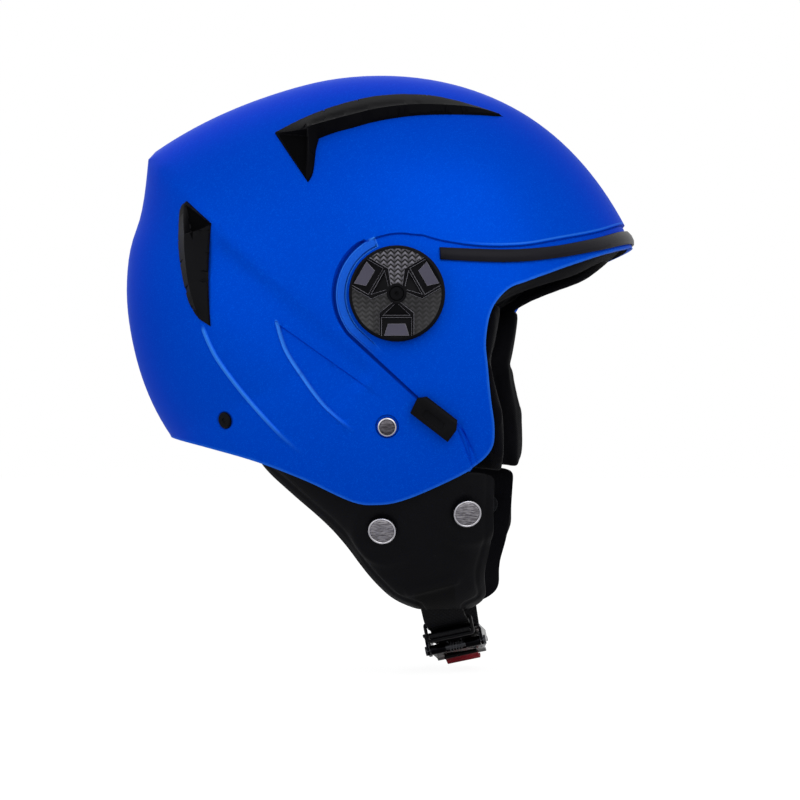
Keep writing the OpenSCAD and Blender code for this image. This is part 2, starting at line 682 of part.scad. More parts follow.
// Snap fasteners: a domed cap outside the flap and a socket ring inside it
module snap_caps() color(steel) both() for (p = snaps_at) on_side(p, -soft_out + 0.6)
    rotate_extrude($fn = 64) polygon([
        [0, 0], [snap_d / 2 - 0.8, 0], [snap_d / 2, 0.5], [snap_d / 2, 1], [snap_d / 2 - 0.6, 1.5],
        [snap_d / 2 - 1.4, 1.3], [snap_d / 4, 1.9], [0, 2.1]
    ]);
module snap_studs() color(steel) both() for (p = snaps_at) on_side(p, -soft_out - flap_t - 0.6)
    rotate_extrude($fn = 48) translate([2, -1.4]) square([snap_d / 2 - 3.4, 1.4]);

// Chin strap frame: x across the strap, y along it towards the left, z towards the chin
strap_lean = 12;
strap_dip = 8;
buckle_at = [38.5, -36, -151.5];
module at_buckle() translate(buckle_at) rotate([0, -strap_lean, 0]) rotate([-strap_dip, 0, 0]) children();
across = [cos(strap_lean), 0, sin(strap_lean)];
along = [sin(strap_dip) * sin(strap_lean), cos(strap_dip), -sin(strap_dip) * cos(strap_lean)];
inward = cross(across, along);
function strap_point(p) = buckle_at + p[0] * along + p[1] * inward;

// Webbing swept along a route, width kept square to it
module webbing(route, w = web_w, t = web_t) {
    last = len(route) - 1;
    sections = [for (i = [0 : last])
        let (
            d = route[min(last, i + 1)] - route[max(0, i - 1)],
            tangent = d / norm(d),
            wide = across - (across * tangent) * tangent,
            x = wide / norm(wide) * w / 2,
            z = cross(tangent, x) / norm(x) * t / 2
        )
        [route[i] - x - z, route[i] + x - z, route[i] + x + z, route[i] - x + z]];
    points = [for (s = sections) each s];
    polyhedron(points, concat(
        [[0, 1, 2], [0, 2, 3]],
        [for (i = [0 : last - 1], j = [0 : 3])
            let (a = 4 * i + j, b = 4 * i + (j + 1) % 4) each [[a, a + 4, b + 4], [a, b + 4, b]]],
        [[4 * last, 4 * last + 2, 4 * last + 1], [4 * last, 4 * last + 3, 4 * last + 2]]
    ));
}
plate_mid = -plate_z + seat + web_t / 2;
sleeve_run = [
    skin([13, -46], -plate_mid), skin([14.5, -53], -plate_mid), skin([16, -61], -flap_mid),
    skin([22, -86], -flap_mid), skin([27, -105], -flap_mid), skin([31.5, -121], -flap_mid),
    skin([34, -131], -flap_mid), skin([35.2, -138], -flap_mid)
];

// Frame: crossbar and slot for the webbing, side walls with the pin holes
bar_l = 3.5;
slot_l = 6;
turn_gap = 0.9 + web_t / 2;
right_turn = [
    [-13, frame_t + turn_gap], [-6, frame_t + turn_gap], [0, frame_t + turn_gap],
    [bar_l - 0.2, frame_t + turn_gap - 0.3], [bar_l + turn_gap, frame_t / 2], [bar_l - 0.2, 0.3 - turn_gap],
    [0, -turn_gap], [-6, -turn_gap], [-14, -turn_gap]
];
module strap_right() color(fabric_black) webbing(curve(concat(
    sleeve_run, [[36, -53.5, -143]], [for (p = right_turn) strap_point(p)]), 3));

pin_y = 13;
pin_z = -6.4;
pin_play = 0.2;
wall_y = 9;
module buckle_frame() color(steel) at_buckle() {
    difference() {
        linear_extrude(frame_t) difference() {
            translate([0, buckle_l / 2]) rounded(buckle_w, buckle_l, 1);
            translate([0, bar_l + slot_l / 2]) rounded(web_w + 2, slot_l, 0.8);
        }
        translate([0, buckle_l - 8, -1]) cylinder(d = 5, h = frame_t + 2, $fn = 48);
    }
    for (x = [-buckle_w / 2, buckle_w / 2 - frame_t]) translate([x, 0, 0]) rotate([90, 0, 90])
        linear_extrude(frame_t) difference() {
            polygon([[wall_y, frame_t / 2], [wall_y, 2 - wall_h], [wall_y + 2, -wall_h], [pin_y + 8, -wall_h],
                [buckle_l - 14, -6], [buckle_l - 4, -5], [buckle_l - 1, -3], [buckle_l - 1, frame_t / 2]]);
            translate([pin_y, pin_z]) circle(d = pin_d + pin_play, $fn = 48);
        }
}

// Tongue: toothed bar with an eye for the left webbing
tongue_y = 9.5;
tongue_top = -seat;
tongue_end = 61.6;
eye_l = 5.4;
tooth_count = floor(31 / tooth_pitch);
module strap_tongue() color(plastic_black) at_buckle() {
    translate([0, 0, tongue_top - tongue_t]) linear_extrude(tongue_t) difference() {
        union() {
            translate([0, (tongue_y + tongue_end - 4) / 2]) rounded(tongue_w, tongue_end - 4 - tongue_y, 2);
            translate([0, tongue_end - 6]) rounded(web_w + 7, 12, 3);
        }
        translate([0, tongue_end - bar_l + 0.5 - eye_l / 2]) rounded(web_w + 2, eye_l, 0.8);
    }
    for (i = [0 : tooth_count - 1]) translate([-tongue_w / 2 + 2, 0, 0]) rotate([90, 0, 90])
        linear_extrude(tongue_w - 4) translate([15 + i * tooth_pitch, tongue_top - tongue_t])
            polygon([[0, 0.2], [tooth_pitch - 0.5, 0.2], [tooth_pitch - 0.5, 0], [0.4, -tooth_h],
                [0, -tooth_h]]);
}
bar_y = tongue_end - bar_l + 0.5;
tongue_low = tongue_top - tongue_t;
left_turn = [
    [bar_y + 14, tongue_top + turn_gap + 1.6], [bar_y + 8, tongue_top + turn_gap + 0.2],
    [bar_y + 2.5, tongue_top + turn_gap], [bar_y + 0.2, tongue_top + turn_gap - 0.3],
    [bar_y - turn_gap, (tongue_top + tongue_low) / 2],
    [bar_y + 0.2, tongue_low - turn_gap + 0.3], [bar_y + 2.5, tongue_low - turn_gap],
    [bar_y + 8, tongue_low - turn_gap], [bar_y + 12, tongue_low - turn_gap + 0.3]
];
function to_left(p) = [p[0], -p[1], p[2]];
module strap_left() color(fabric_black) webbing(curve(concat(
    [for (p = sleeve_run) to_left(p)], [[35.6, 54, -143], [37, 49.5, -150.5], [38.4, 42.5, -156.5]],
    [for (p = left_turn) strap_point(p)]), 3));

// Keeper: a moulded loop round both layers of the webbing
module strap_keeper() color(plastic_black) at_buckle() translate([0, -7.5, frame_t / 2]) rotate([90, 0, 0])
    linear_extrude(5) difference() {
        rounded(web_w + 4.4, frame_t + 2 * web_t + 5.2, 2);
        rounded(web_w + 1.4, frame_t + 2 * web_t + 2.4, 0.8);
    }

// Lever: pivots on the pin, holds the teeth with its pawl, and is lifted at its far end
lever_w = buckle_w - 2 * frame_t - 1;
boss_r = 2.6;
lever_top = -6.9;
lever_t = 1.7;
pawl_z = tongue_low - tooth_h - running;
module buckle_lever() color(steel) at_buckle() difference() {
    translate([-lever_w / 2, 0, 0]) rotate([90, 0, 90]) {
        translate([pin_y, pin_z]) cylinder(r = boss_r, h = lever_w, $fn = 64);
        linear_extrude(lever_w) polygon([
            [pin_y, lever_top - lever_t], [buckle_l, lever_top - lever_t],
            [buckle_l + 3, lever_top - lever_t - 1], [buckle_l + 3.6, lever_top - 1],
            [buckle_l, lever_top], [pin_y + 15, lever_top],
            [pin_y + 12.5, pawl_z], [pin_y + 11, pawl_z], [pin_y + 9, lever_top], [pin_y, lever_top]
        ]);
    }
    translate([0, pin_y, pin_z]) rotate([0, 90, 0])
        cylinder(d = pin_d + pin_play, h = lever_w + 2, center = true, $fn = 48);
    translate([0, pin_y - 1, pin_z]) cube([11, 2 * boss_r + 4.4, 8], center = true);
}
module lever_pin() color(steel) at_buckle() translate([0, pin_y, pin_z]) rotate([0, 90, 0]) {
    cylinder(d = pin_d, h = buckle_w + 1, center = true, $fn = 48);
    for (s = [-1, 1]) translate([0, 0, s * (buckle_w / 2 + 0.6)])
        cylinder(d = pin_d + 2, h = 0.9, center = true, $fn = 48);
}

// Torsion spring round the pin, with two legs towards the crossbar
wire_d = 0.7;
coil_r = pin_d / 2 + 0.5 + wire_d / 2;
turns = 5;
coil_pitch = 1.5;
spring_path = concat(
    [[-turns * coil_pitch / 2, -4.2, coil_r]],
    [for (i = [0 : turns * 8]) let (a = 90 - i * 45)
        [(i / 8 - turns / 2) * coil_pitch, coil_r * cos(a), coil_r * sin(a)]],
    [[turns * coil_pitch / 2, -4.2, coil_r]]
);
module wire(path, d, sides = 6) {
    last = len(path) - 1;
    points = [for (i = [0 : last])
        let (
            t = path[min(last, i + 1)] - path[max(0, i - 1)],
            x = cross(t, [1, 0.03, 0.02]), y = cross(t, x)
        )
        for (k = [0 : sides - 1])
            path[i] + d / 2 * (x / norm(x) * cos(360 * k / sides) + y / norm(y) * sin(360 * k / sides))];
    polyhedron(points, concat(
        [[for (k = [0 : sides - 1]) k]],
        [for (i = [0 : last - 1], k = [0 : sides - 1])
            let (a = sides * i + k, b = sides * i + (k + 1) % sides)
            each [[a, b + sides, b], [a, a + sides, b + sides]]],
        [[for (k = [sides - 1 : -1 : 0]) sides * last + k]]
    ));
}
module lever_spring() color(steel) at_buckle() translate([0, pin_y, pin_z]) wire(spring_path, wire_d);

// Pull tab sewn to the lever's end
tab_t = 1.2;
tab_run = [for (p = [[-8, 0], [0, 0], [5, -1.2], [10, -1.5], [15, 0.4]])
    strap_point([buckle_l + p[0], lever_top - lever_t - seat - tab_t / 2 + p[1]])];
module pull_tab() color(tab_red) webbing(curve(tab_run, 3), tab_w, tab_t);

outer_shell();
eps_liner();
crown_lining();
brow_roll();
neck_roll();
cheek_core_right();
cheek_core_left();
cheek_pad_right();
cheek_pad_left();
brow_strip();
crown_duct_right();
crown_duct_left();
exhaust_vent_right();
exhaust_vent_left();
rear_plugs();
pivot_base_right();
pivot_base_left();
pivot_hub_right();
pivot_hub_left();
pivot_cover_right();
pivot_cover_left();
pivot_screws();
pivot_nuts();
visor_rest_right();
visor_rest_left();
anchor_plates();
strap_rivets();
ear_flap_right();
ear_flap_left();
flap_lining_right();
flap_lining_left();
snap_caps();
snap_studs();
strap_right();
strap_left();
strap_keeper();
buckle_frame();
buckle_lever();
lever_pin();
lever_spring();
strap_tongue();
pull_tab();
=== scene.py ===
import math

import bmesh
import bpy
import numpy as np
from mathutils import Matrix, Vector


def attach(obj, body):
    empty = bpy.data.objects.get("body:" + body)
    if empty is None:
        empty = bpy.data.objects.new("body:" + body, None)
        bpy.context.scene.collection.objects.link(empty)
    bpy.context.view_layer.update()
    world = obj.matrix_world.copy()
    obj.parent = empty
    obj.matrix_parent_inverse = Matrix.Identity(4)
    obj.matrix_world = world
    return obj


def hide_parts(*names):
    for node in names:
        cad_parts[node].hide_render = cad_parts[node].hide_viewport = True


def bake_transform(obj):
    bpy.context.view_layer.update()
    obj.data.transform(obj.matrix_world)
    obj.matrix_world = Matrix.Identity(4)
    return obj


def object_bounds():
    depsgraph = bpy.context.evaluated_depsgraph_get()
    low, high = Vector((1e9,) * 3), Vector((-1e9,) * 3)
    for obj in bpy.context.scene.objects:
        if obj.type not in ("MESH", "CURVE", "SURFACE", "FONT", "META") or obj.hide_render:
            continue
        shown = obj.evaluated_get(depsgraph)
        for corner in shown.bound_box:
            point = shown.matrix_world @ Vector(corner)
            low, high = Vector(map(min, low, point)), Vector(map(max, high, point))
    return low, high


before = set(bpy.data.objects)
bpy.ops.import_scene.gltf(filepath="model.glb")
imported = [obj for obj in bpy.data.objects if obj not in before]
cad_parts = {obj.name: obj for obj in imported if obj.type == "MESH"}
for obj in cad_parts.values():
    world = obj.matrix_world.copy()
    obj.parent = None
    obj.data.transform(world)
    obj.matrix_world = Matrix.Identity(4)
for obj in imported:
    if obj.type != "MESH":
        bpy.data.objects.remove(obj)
cad_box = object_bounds()

MM = 0.001
HELMET = "helmet"
SIDES = (("right", -1), ("left", 1))  # with the sign of their y

# Camera: level with the shell's side, turned a little towards the front
VIEW_TURN = math.radians(4.5)
VIEW_DISTANCE = 2.5
VIEW_WIDTH = 0.436
VIEW_SIDEWAYS = 0.008175
VIEW_HEIGHT = -0.02725


def add_camera():
    back = Vector((math.sin(VIEW_TURN), -math.cos(VIEW_TURN), 0))
    right = Vector((math.cos(VIEW_TURN), math.sin(VIEW_TURN), 0))
    target = VIEW_SIDEWAYS * right + Vector((0, 0, VIEW_HEIGHT))
    data = bpy.data.cameras.new("photo_camera")
    data.lens = data.sensor_width * VIEW_DISTANCE / VIEW_WIDTH
    data.clip_end = 50
    camera = bpy.data.objects.new("photo_camera", data)
    bpy.context.scene.collection.objects.link(camera)
    camera.location = target + VIEW_DISTANCE * back
    camera.rotation_euler = (-back).to_track_quat("-Z", "Y").to_euler()
    bpy.context.scene.camera = camera


add_camera()

# The body's surface, as in the part's own construction, in metres
CROWN_R = 148 * MM
HALF_W = 117 * MM
SIDE_N = 2.3
SHELL_T = 3.5 * MM
TAIL_OUT = 14 * MM
TAIL_A, TAIL_RISE, TAIL_FALL = 140.5, 35.5, 13
BODY_KNOTS = [
    (-157, -23.5), (-130, -10), (-90, 20), (-50, 21), (-10, 5), (24, -1), (60, 1),
    (90, 1), (110, 2.5), (140, 4), (156, 1.5), (165, -3), (180, -12), (203, -23.5),
]


def smooth_value(t, knots):
    """Smooth curve through (place, value) knots, at one place or many"""
    x = np.array([k[0] for k in knots], float)
    y = np.array([k[1] for k in knots], float)
    t = np.asarray(t, float)
    last = len(x) - 1
    i = np.clip(np.searchsorted(x, t, side="right") - 1, 0, last - 1)
    w = x[i + 1] - x[i]
    u = (t - x[i]) / w

    def slope(k):
        a, b = np.maximum(k - 1, 0), np.minimum(k + 1, last)
        return (y[b] - y[a]) / (x[b] - x[a])

    return (
        (2 * u**3 - 3 * u**2 + 1) * y[i]
        + (u**3 - 2 * u**2 + u) * slope(i) * w
        + (3 * u**2 - 2 * u**3) * y[i + 1]
        + (u**3 - u**2) * slope(i + 1) * w
    )


def side_radius(x, z):
    """Radius of the side outline in the direction of each side-view place"""
    a = np.degrees(np.arctan2(z, x))
    a = np.where(a < -157, a + 360, a)
    before = np.clip((a - TAIL_A + TAIL_RISE) / TAIL_RISE, 0, 1) ** 2
    after = np.clip(1 - (a - TAIL_A) / TAIL_FALL, 0, 1) ** 1.8
    tail = np.where(a < TAIL_A, before, after)
    return CROWN_R + smooth_value(a, BODY_KNOTS) * MM + TAIL_OUT * tail


def fullness(points, off=0.0):
    """1 on the surface grown by off, less inside it"""
    x, y, z = points.T
    side = np.hypot(x, z) / (side_radius(x, z) + off)
    return side**SIDE_N + (np.abs(y) / (HALF_W + off)) ** SIDE_N


def onto_surface(points, off=0.0):
    """Points moved out or in, towards the middle, until they lie on the surface grown by off"""
    return points * (fullness(points, off) ** (-1 / SIDE_N))[:, None]


def curve(points, steps):
    """Smooth curve through listed side-view points, given in millimetres"""
    p = np.array(points, float) * MM
    out = []
    for i in range(len(p) - 1):
        a, b, c, d = p[max(0, i - 1)], p[i], p[i + 1], p[min(len(p) - 1, i + 2)]
        for s in range(steps):
            u = s / steps
            out.append(0.5 * (2 * b + (c - a) * u + (2 * a - 5 * b + 4 * c - d) * u**2
                              + (3 * b - a - 3 * c + d) * u**3))
    return np.array(out + [p[-1]])


def line_distance(places, line):
    """Distance of each side-view place from a line, and how far along the line its foot lies"""
    best = np.full(len(places), 9.0)
    along = np.zeros(len(places))
    start = 0.0
    for a, b in zip(line[:-1], line[1:]):
        d = b - a
        length = np.hypot(*d)
        if length < 1e-7:
            continue
        t = np.clip(((places - a) @ d) / length**2, 0, 1)
        gap = np.hypot(*(places - a - t[:, None] * d).T)
        near = gap < best
        best = np.where(near, gap, best)
        along = np.where(near, start + t * length, along)
        start += length
    return best, along


def inside(places, outline):
    """Which side-view places lie inside a closed outline"""
    x, z = places.T
    found = np.zeros(len(places), bool)
    for a, b in zip(outline, np.roll(outline, -1, 0)):
        crosses = (a[1] > z) != (b[1] > z)
        rise = b[1] - a[1] if b[1] != a[1] else 1e-12
        found ^= crosses & (x < (b[0] - a[0]) * (z - a[1]) / rise + a[0])
    return found


def side_view(where):
    """The (x, z) of each point"""
    return where[:, [0, 2]]


def closed(line):
    """The line with its first point again at its end"""
    return np.concatenate([line, line[:1]])


def ramp(x, low, high):
    """0 below low, 1 above high, smooth between"""
    t = np.clip((x - low) / (high - low), 0, 1)
    return t * t * (3 - 2 * t)


# ---- Working with meshes ----

def take(piece):
    """Makes one piece the only selected and active one"""
    if bpy.context.object and bpy.context.object.mode != "OBJECT":
        bpy.ops.object.mode_set(mode="OBJECT")
    nothing_selected()
    piece.hide_set(False)
    piece.select_set(True)
    bpy.context.view_layer.objects.active = piece


def points(piece):
    out = np.empty(len(piece.data.vertices) * 3)
    piece.data.vertices.foreach_get("co", out)
    return out.reshape(-1, 3)


def place(piece, where):
    piece.data.vertices.foreach_set("co", np.asarray(where, float).ravel())
    piece.data.update()


def outward(piece):
    out = np.empty(len(piece.data.vertices) * 3)
    piece.data.vertex_normals.foreach_get("vector", out)
    return out.reshape(-1, 3)


def face_middles(piece):
    out = np.empty(len(piece.data.polygons) * 3)
    piece.data.polygons.foreach_get("center", out)
    return out.reshape(-1, 3)


def face_areas(piece):
    out = np.empty(len(piece.data.polygons))
    piece.data.polygons.foreach_get("area", out)
    return out


def edit(piece, faces=None):
    """Opens edit mode with the chosen faces selected, or with everything"""
    take(piece)
    mesh = piece.data
    for parts in (mesh.vertices, mesh.edges, mesh.polygons):
        parts.foreach_set("select", np.zeros(len(parts), bool))
    if faces is not None:
        mesh.polygons.foreach_set("select", faces)
    bpy.context.tool_settings.mesh_select_mode = (False, False, True)
    bpy.ops.object.mode_set(mode="EDIT")
    if faces is None:
        bpy.ops.mesh.select_all(action="SELECT")


def done():
    bpy.ops.object.mode_set(mode="OBJECT")


def drop_faces(piece, chosen):
    edit(piece, chosen)
    bpy.ops.mesh.delete(type="FACE")
    done()


def merge_doubles(piece, gap):
    edit(piece)
    bpy.ops.mesh.remove_doubles(threshold=gap)
    done()


def nothing_selected():
    bpy.ops.object.select_all(action="DESELECT")


def modify(piece, kind, **settings):
    take(piece)
    modifier = piece.modifiers.new(kind.lower(), kind)
    for key, value in settings.items():
        setattr(modifier, key, value)
    bpy.ops.object.modifier_apply(modifier=modifier.name)


def bevel(piece, width, segments=2, angle=50, **settings):
    modify(piece, "BEVEL", width=width, segments=segments, limit_method="ANGLE",
           angle_limit=math.radians(angle), **settings)


def subdivide(piece, levels):
    modify(piece, "SUBSURF", levels=levels, render_levels=levels)


def relax(piece, times):
    modify(piece, "LAPLACIANSMOOTH", iterations=times, lambda_factor=1.0,
           use_volume_preserve=True)


def split_wide_faces(piece):
    edit(piece)
    bpy.ops.mesh.select_all(action="DESELECT")
    bpy.ops.mesh.select_face_by_sides(number=4, type="GREATER", extend=False)
    bpy.ops.mesh.quads_convert_to_tris(quad_method="BEAUTY", ngon_method="BEAUTY")
    done()


def refine(piece, wanted, edge):
    """Divides the wanted faces until their sides are about edge long"""
    for _ in range(4):
        chosen = wanted(face_middles(piece)) & (face_areas(piece) > 1.6 * edge**2)
        if not chosen.any():
            break
        edit(piece, chosen)
        bpy.ops.mesh.subdivide(number_cuts=1)
        done()
        split_wide_faces(piece)


def mirrored(piece, name):
    """The piece's left-hand twin"""
    twin = bpy.data.objects.new(name, piece.data.copy())
    bpy.context.scene.collection.objects.link(twin)
    where = points(twin)
    where[:, 1] *= -1
    place(twin, where)
    twin.data.flip_normals()
    return twin


def copy_of(node, name):
    """A copy of a CAD node's mesh with its loose triangles joined"""
    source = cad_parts[node]
    piece = bpy.data.objects.new(name, source.data.copy())
    bpy.context.scene.collection.objects.link(piece)
    merge_doubles(piece, 2e-6)
    return piece


def wear(piece, *finishes):
    piece.data.materials.clear()
    for finish in finishes:
        piece.data.materials.append(finish)


def finished(piece, body, slot, finish, *nodes, angle):
    take(piece)
    bpy.ops.object.shade_smooth_by_angle(angle=math.radians(angle))
    if finish is not None:
        wear(piece, finish)
    if body is not None:
        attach(piece, body)
    if nodes:
        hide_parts(*nodes)
    return piece


# ---- Materials ----

def colour(code):
    """Colour value of a hexadecimal code, as light"""
    parts = [int(code[i:i + 2], 16) / 255 for i in (0, 2, 4)]
    light = [p / 12.92 if p <= 0.04045 else ((p + 0.055) / 1.055) ** 2.4 for p in parts]
    return (*light, 1.0)


def give(tree, node, values):
    """Sets a node's inputs: a socket is linked, and anything else is the input's own value"""
    for key, value in values.items():
        if isinstance(value, bpy.types.NodeSocket):
            tree.links.new(value, node.inputs[key])
        else:
            node.inputs[key].default_value = value


def add(tree, kind, values=None, **settings):
    node = tree.nodes.new("ShaderNode" + kind)
    for key, value in settings.items():
        setattr(node, key, value)
    give(tree, node, values or {})
    return node


def mixed(tree, share, first, second):
    """Colour that goes from the first to the second as share goes from 0 to 1"""
    values = {0: share, 6: first, 7: second}
    return add(tree, "Mix", values, data_type="RGBA").outputs[2]


def noise(tree, where, scale, detail):
    return add(tree, "TexNoise", {"Vector": where, "Scale": scale, "Detail": detail}).outputs[0]


def calc(tree, operation, a, b=0.0, c=0.0):
    return add(tree, "Math", {0: a, 1: b, 2: c}, operation=operation).outputs[0]


def effect(name, inputs, outputs):
    """A new node group with its own input and output sockets"""
    tree = bpy.data.node_groups.new(name, "ShaderNodeTree")
    for label, kind in inputs:
        tree.interface.new_socket(name=label, in_out="INPUT", socket_type="NodeSocket" + kind)
    for label, kind in outputs:
        tree.interface.new_socket(name=label, in_out="OUTPUT", socket_type="NodeSocket" + kind)
    return tree, tree.nodes.new("NodeGroupInput").outputs, tree.nodes.new("NodeGroupOutput").inputs


def make_grain():
    """Pebbled grain of moulded plastic and leather"""
    tree, given, out = effect("grain", [("Vector", "Vector"), ("Scale", "Float")],
                              [("Height", "Float")])
    cells = add(tree, "TexVoronoi", {"Vector": given["Vector"], "Scale": given["Scale"]},
                feature="SMOOTH_F1")
    fine = noise(tree, given["Vector"], given["Scale"], 3.0)
    height = calc(tree, "MULTIPLY_ADD", fine, 0.35, cells.outputs["Distance"])
    tree.links.new(height, out["Height"])
    return tree


def make_weave():
    """Crossing threads"""
    tree, given, out = effect("weave", [("Vector", "Vector"), ("Scale", "Float")],
                              [("Height", "Float")])
    x, _, z = add(tree, "SeparateXYZ", {0: given["Vector"]}).outputs
    across = calc(tree, "SINE", calc(tree, "MULTIPLY", x, given["Scale"]))
    along = calc(tree, "SINE", calc(tree, "MULTIPLY", z, given["Scale"]))
    height = calc(tree, "MULTIPLY", across, along)
    tree.links.new(calc(tree, "MULTIPLY_ADD", height, 0.5, 0.5), out["Height"])
    return tree


def make_tone():
    """Slow, cloudy change between two colours"""
    tree, given, out = effect(
        "tone", [("Vector", "Vector"), ("Scale", "Float"), ("Dark", "Color"), ("Light", "Color")],
        [("Color", "Color"), ("Fac", "Float")])
    cloud = noise(tree, given["Vector"], given["Scale"], 2.0)
    tree.links.new(mixed(tree, cloud, given["Dark"], given["Light"]), out["Color"])
    tree.links.new(cloud, out["Fac"])
    return tree


GRAIN, WEAVE, TONE = make_grain(), make_weave(), make_tone()


def start_finish(name, **values):
    material = bpy.data.materials.new(name)
    material.use_nodes = True
    tree = material.node_tree
    shader = tree.nodes["Principled BSDF"]
    for key, value in values.items():
        shader.inputs[key.replace("_", " ").title().replace("Ior", "IOR")].default_value = value
    where = add(tree, "TexCoord").outputs["Object"]
    return material, tree, shader, where


def use(tree, group, **values):
    node = add(tree, "Group")
    node.node_tree = group
    give(tree, node, values)
    return node.outputs


def bump(tree, shader, height, depth, strength):
    node = add(tree, "Bump", {"Height": height, "Distance": depth, "Strength": strength})
    tree.links.new(node.outputs[0], shader.inputs["Normal"])


def tint(tree, shader, socket):
    tree.links.new(socket, shader.inputs["Base Color"])


def toned(tree, where, scale, dark, light):
    return use(tree, TONE, Vector=where, Scale=scale, Dark=colour(dark), Light=colour(light))


def tinted(tree, shader, where, scale, dark, light):
    out = toned(tree, where, scale, dark, light)
    tint(tree, shader, out["Color"])
    return out


def shell_paint():
    """Satin blue with fine flakes, with a painted highlight along raised edges and painted shade in
    grooves
    """
    material, tree, shader, where = start_finish(
        "shell_paint", metallic=0.3, roughness=0.42, specular_ior_level=0.006,
        specular_tint=(0.02, 0.25, 0.9, 1))
    tone = toned(tree, where, 6.0, "003dbf", "0049cb")
    flakes = add(tree, "TexVoronoi", {"Vector": where, "Scale": 2600.0})
    chance = add(tree, "SeparateColor", {0: flakes.outputs["Color"]}).outputs[0]
    bright = calc(tree, "GREATER_THAN", chance, 0.86)
    flaked = mixed(tree, calc(tree, "MULTIPLY", bright, 0.25), tone["Color"], colour("0a6ae8"))
    # painted light from the shell's per-point attribute: lighter blue as a painted highlight on
    # raised edges, dark navy as painted shade in grooves
    painted_light = add(tree, "Attribute", attribute_name="painted_light").outputs["Fac"]
    edges = mixed(tree, painted_light, flaked, colour("3f90f0"))
    grooves = mixed(tree, calc(tree, "MULTIPLY", painted_light, -1.0), edges, colour("001a70"))
    tint(tree, shader, grooves)
    bump(tree, shader, noise(tree, where, 320.0, 1.0), 0.00004, 0.4)
    return material


def satin_plastic(name, dark, light, roughness=0.42, level=0.05):
    material, tree, shader, where = start_finish(
        name, roughness=roughness, specular_ior_level=level)
    tinted(tree, shader, where, 60.0, dark, light)
    grain = use(tree, GRAIN, Vector=where, Scale=1400.0)
    bump(tree, shader, grain["Height"], 0.00006, 0.6)
    return material


def foam_beads():
    material, tree, shader, where = start_finish(
        "foam_beads", roughness=0.8, specular_ior_level=0.1)
    beads = add(tree, "TexVoronoi", {"Vector": where, "Scale": 300.0})
    share = calc(tree, "MULTIPLY", beads.outputs["Distance"], 1.2)
    dark = mixed(tree, share, colour("1b1b1e"), colour("0b0b0d"))
    tint(tree, shader, dark)
    bump(tree, shader, calc(tree, "SUBTRACT", 1.0, beads.outputs["Distance"]), 0.0004, 0.7)
    return material


def brushed_lining():
    material, tree, shader, where = start_finish(
        "brushed_lining", roughness=0.9, sheen_weight=0.03, sheen_roughness=0.5,
        specular_ior_level=0.03)
    tinted(tree, shader, where, 90.0, "08080b", "0f0f13")
    weave = use(tree, WEAVE, Vector=where, Scale=5200.0)
    nap = noise(tree, where, 1600.0, 4.0)
    bump(tree, shader, calc(tree, "ADD", weave["Height"], nap), 0.0002, 0.7)
    return material


def black_leatherette():
    material, tree, shader, where = start_finish(
        "black_leatherette", roughness=0.5, specular_ior_level=0.08)
    tinted(tree, shader, where, 70.0, "08080b", "0f0f13")
    grain = use(tree, GRAIN, Vector=where, Scale=900.0)
    folds = noise(tree, where, 45.0, 2.0)
    bump(tree, shader, calc(tree, "MULTIPLY_ADD", folds, 3.0, grain["Height"]), 0.0003, 0.6)
    return material


# Painted shade below the ear flap's pleat, in metres: its top is z = slope * x + height
POCKET_SHADE_TOP = (0.27, -0.1354)
POCKET_SHADE_X, POCKET_SHADE_HALF_W = 0.0325, 0.0105


def flap_cloth():
    """Soft coated cloth: fine grain, broad dull sheen"""
    material, tree, shader, where = start_finish(
        "flap_cloth", roughness=0.38, sheen_weight=0.01, specular_ior_level=0.07)
    tone = toned(tree, where, 60.0, "060608", "0c0c10")
    # painted shade below the pleat, where the strap comes out, as wide as the strap
    x, _, z = add(tree, "SeparateXYZ", {0: where}).outputs
    below = calc(tree, "LESS_THAN", z, calc(tree, "MULTIPLY_ADD", x, *POCKET_SHADE_TOP))
    aside = calc(tree, "ABSOLUTE", calc(tree, "SUBTRACT", x, POCKET_SHADE_X))
    pocket_shade = calc(tree, "MULTIPLY", below, calc(tree, "LESS_THAN", aside, POCKET_SHADE_HALF_W))
    cloth = mixed(tree, pocket_shade, tone["Color"], colour("020203"))
    tint(tree, shader, cloth)
    grain = use(tree, GRAIN, Vector=where, Scale=1300.0)
    weave = use(tree, WEAVE, Vector=where, Scale=4200.0)
    height = calc(tree, "MULTIPLY_ADD", weave["Height"], 0.6, grain["Height"])
    bump(tree, shader, height, 0.00012, 0.6)
    return material


def strap_webbing():
    material, tree, shader, where = start_finish(
        "strap_webbing", roughness=0.6, specular_ior_level=0.1)
    tinted(tree, shader, where, 80.0, "060608", "0d0d10")
    lay = add(tree, "Attribute", attribute_name="lay").outputs["Vector"]
    weave = use(tree, WEAVE, Vector=lay, Scale=2600.0)
    bump(tree, shader, weave["Height"], 0.0003, 0.8)
    return material


# Woven tows of the pivot covers, in metres
COLUMN_W = 0.0037
ZIGZAG_RISE = 0.0034
TOW_STEP = 0.0024
UPPER_FAN_Z = 0.031


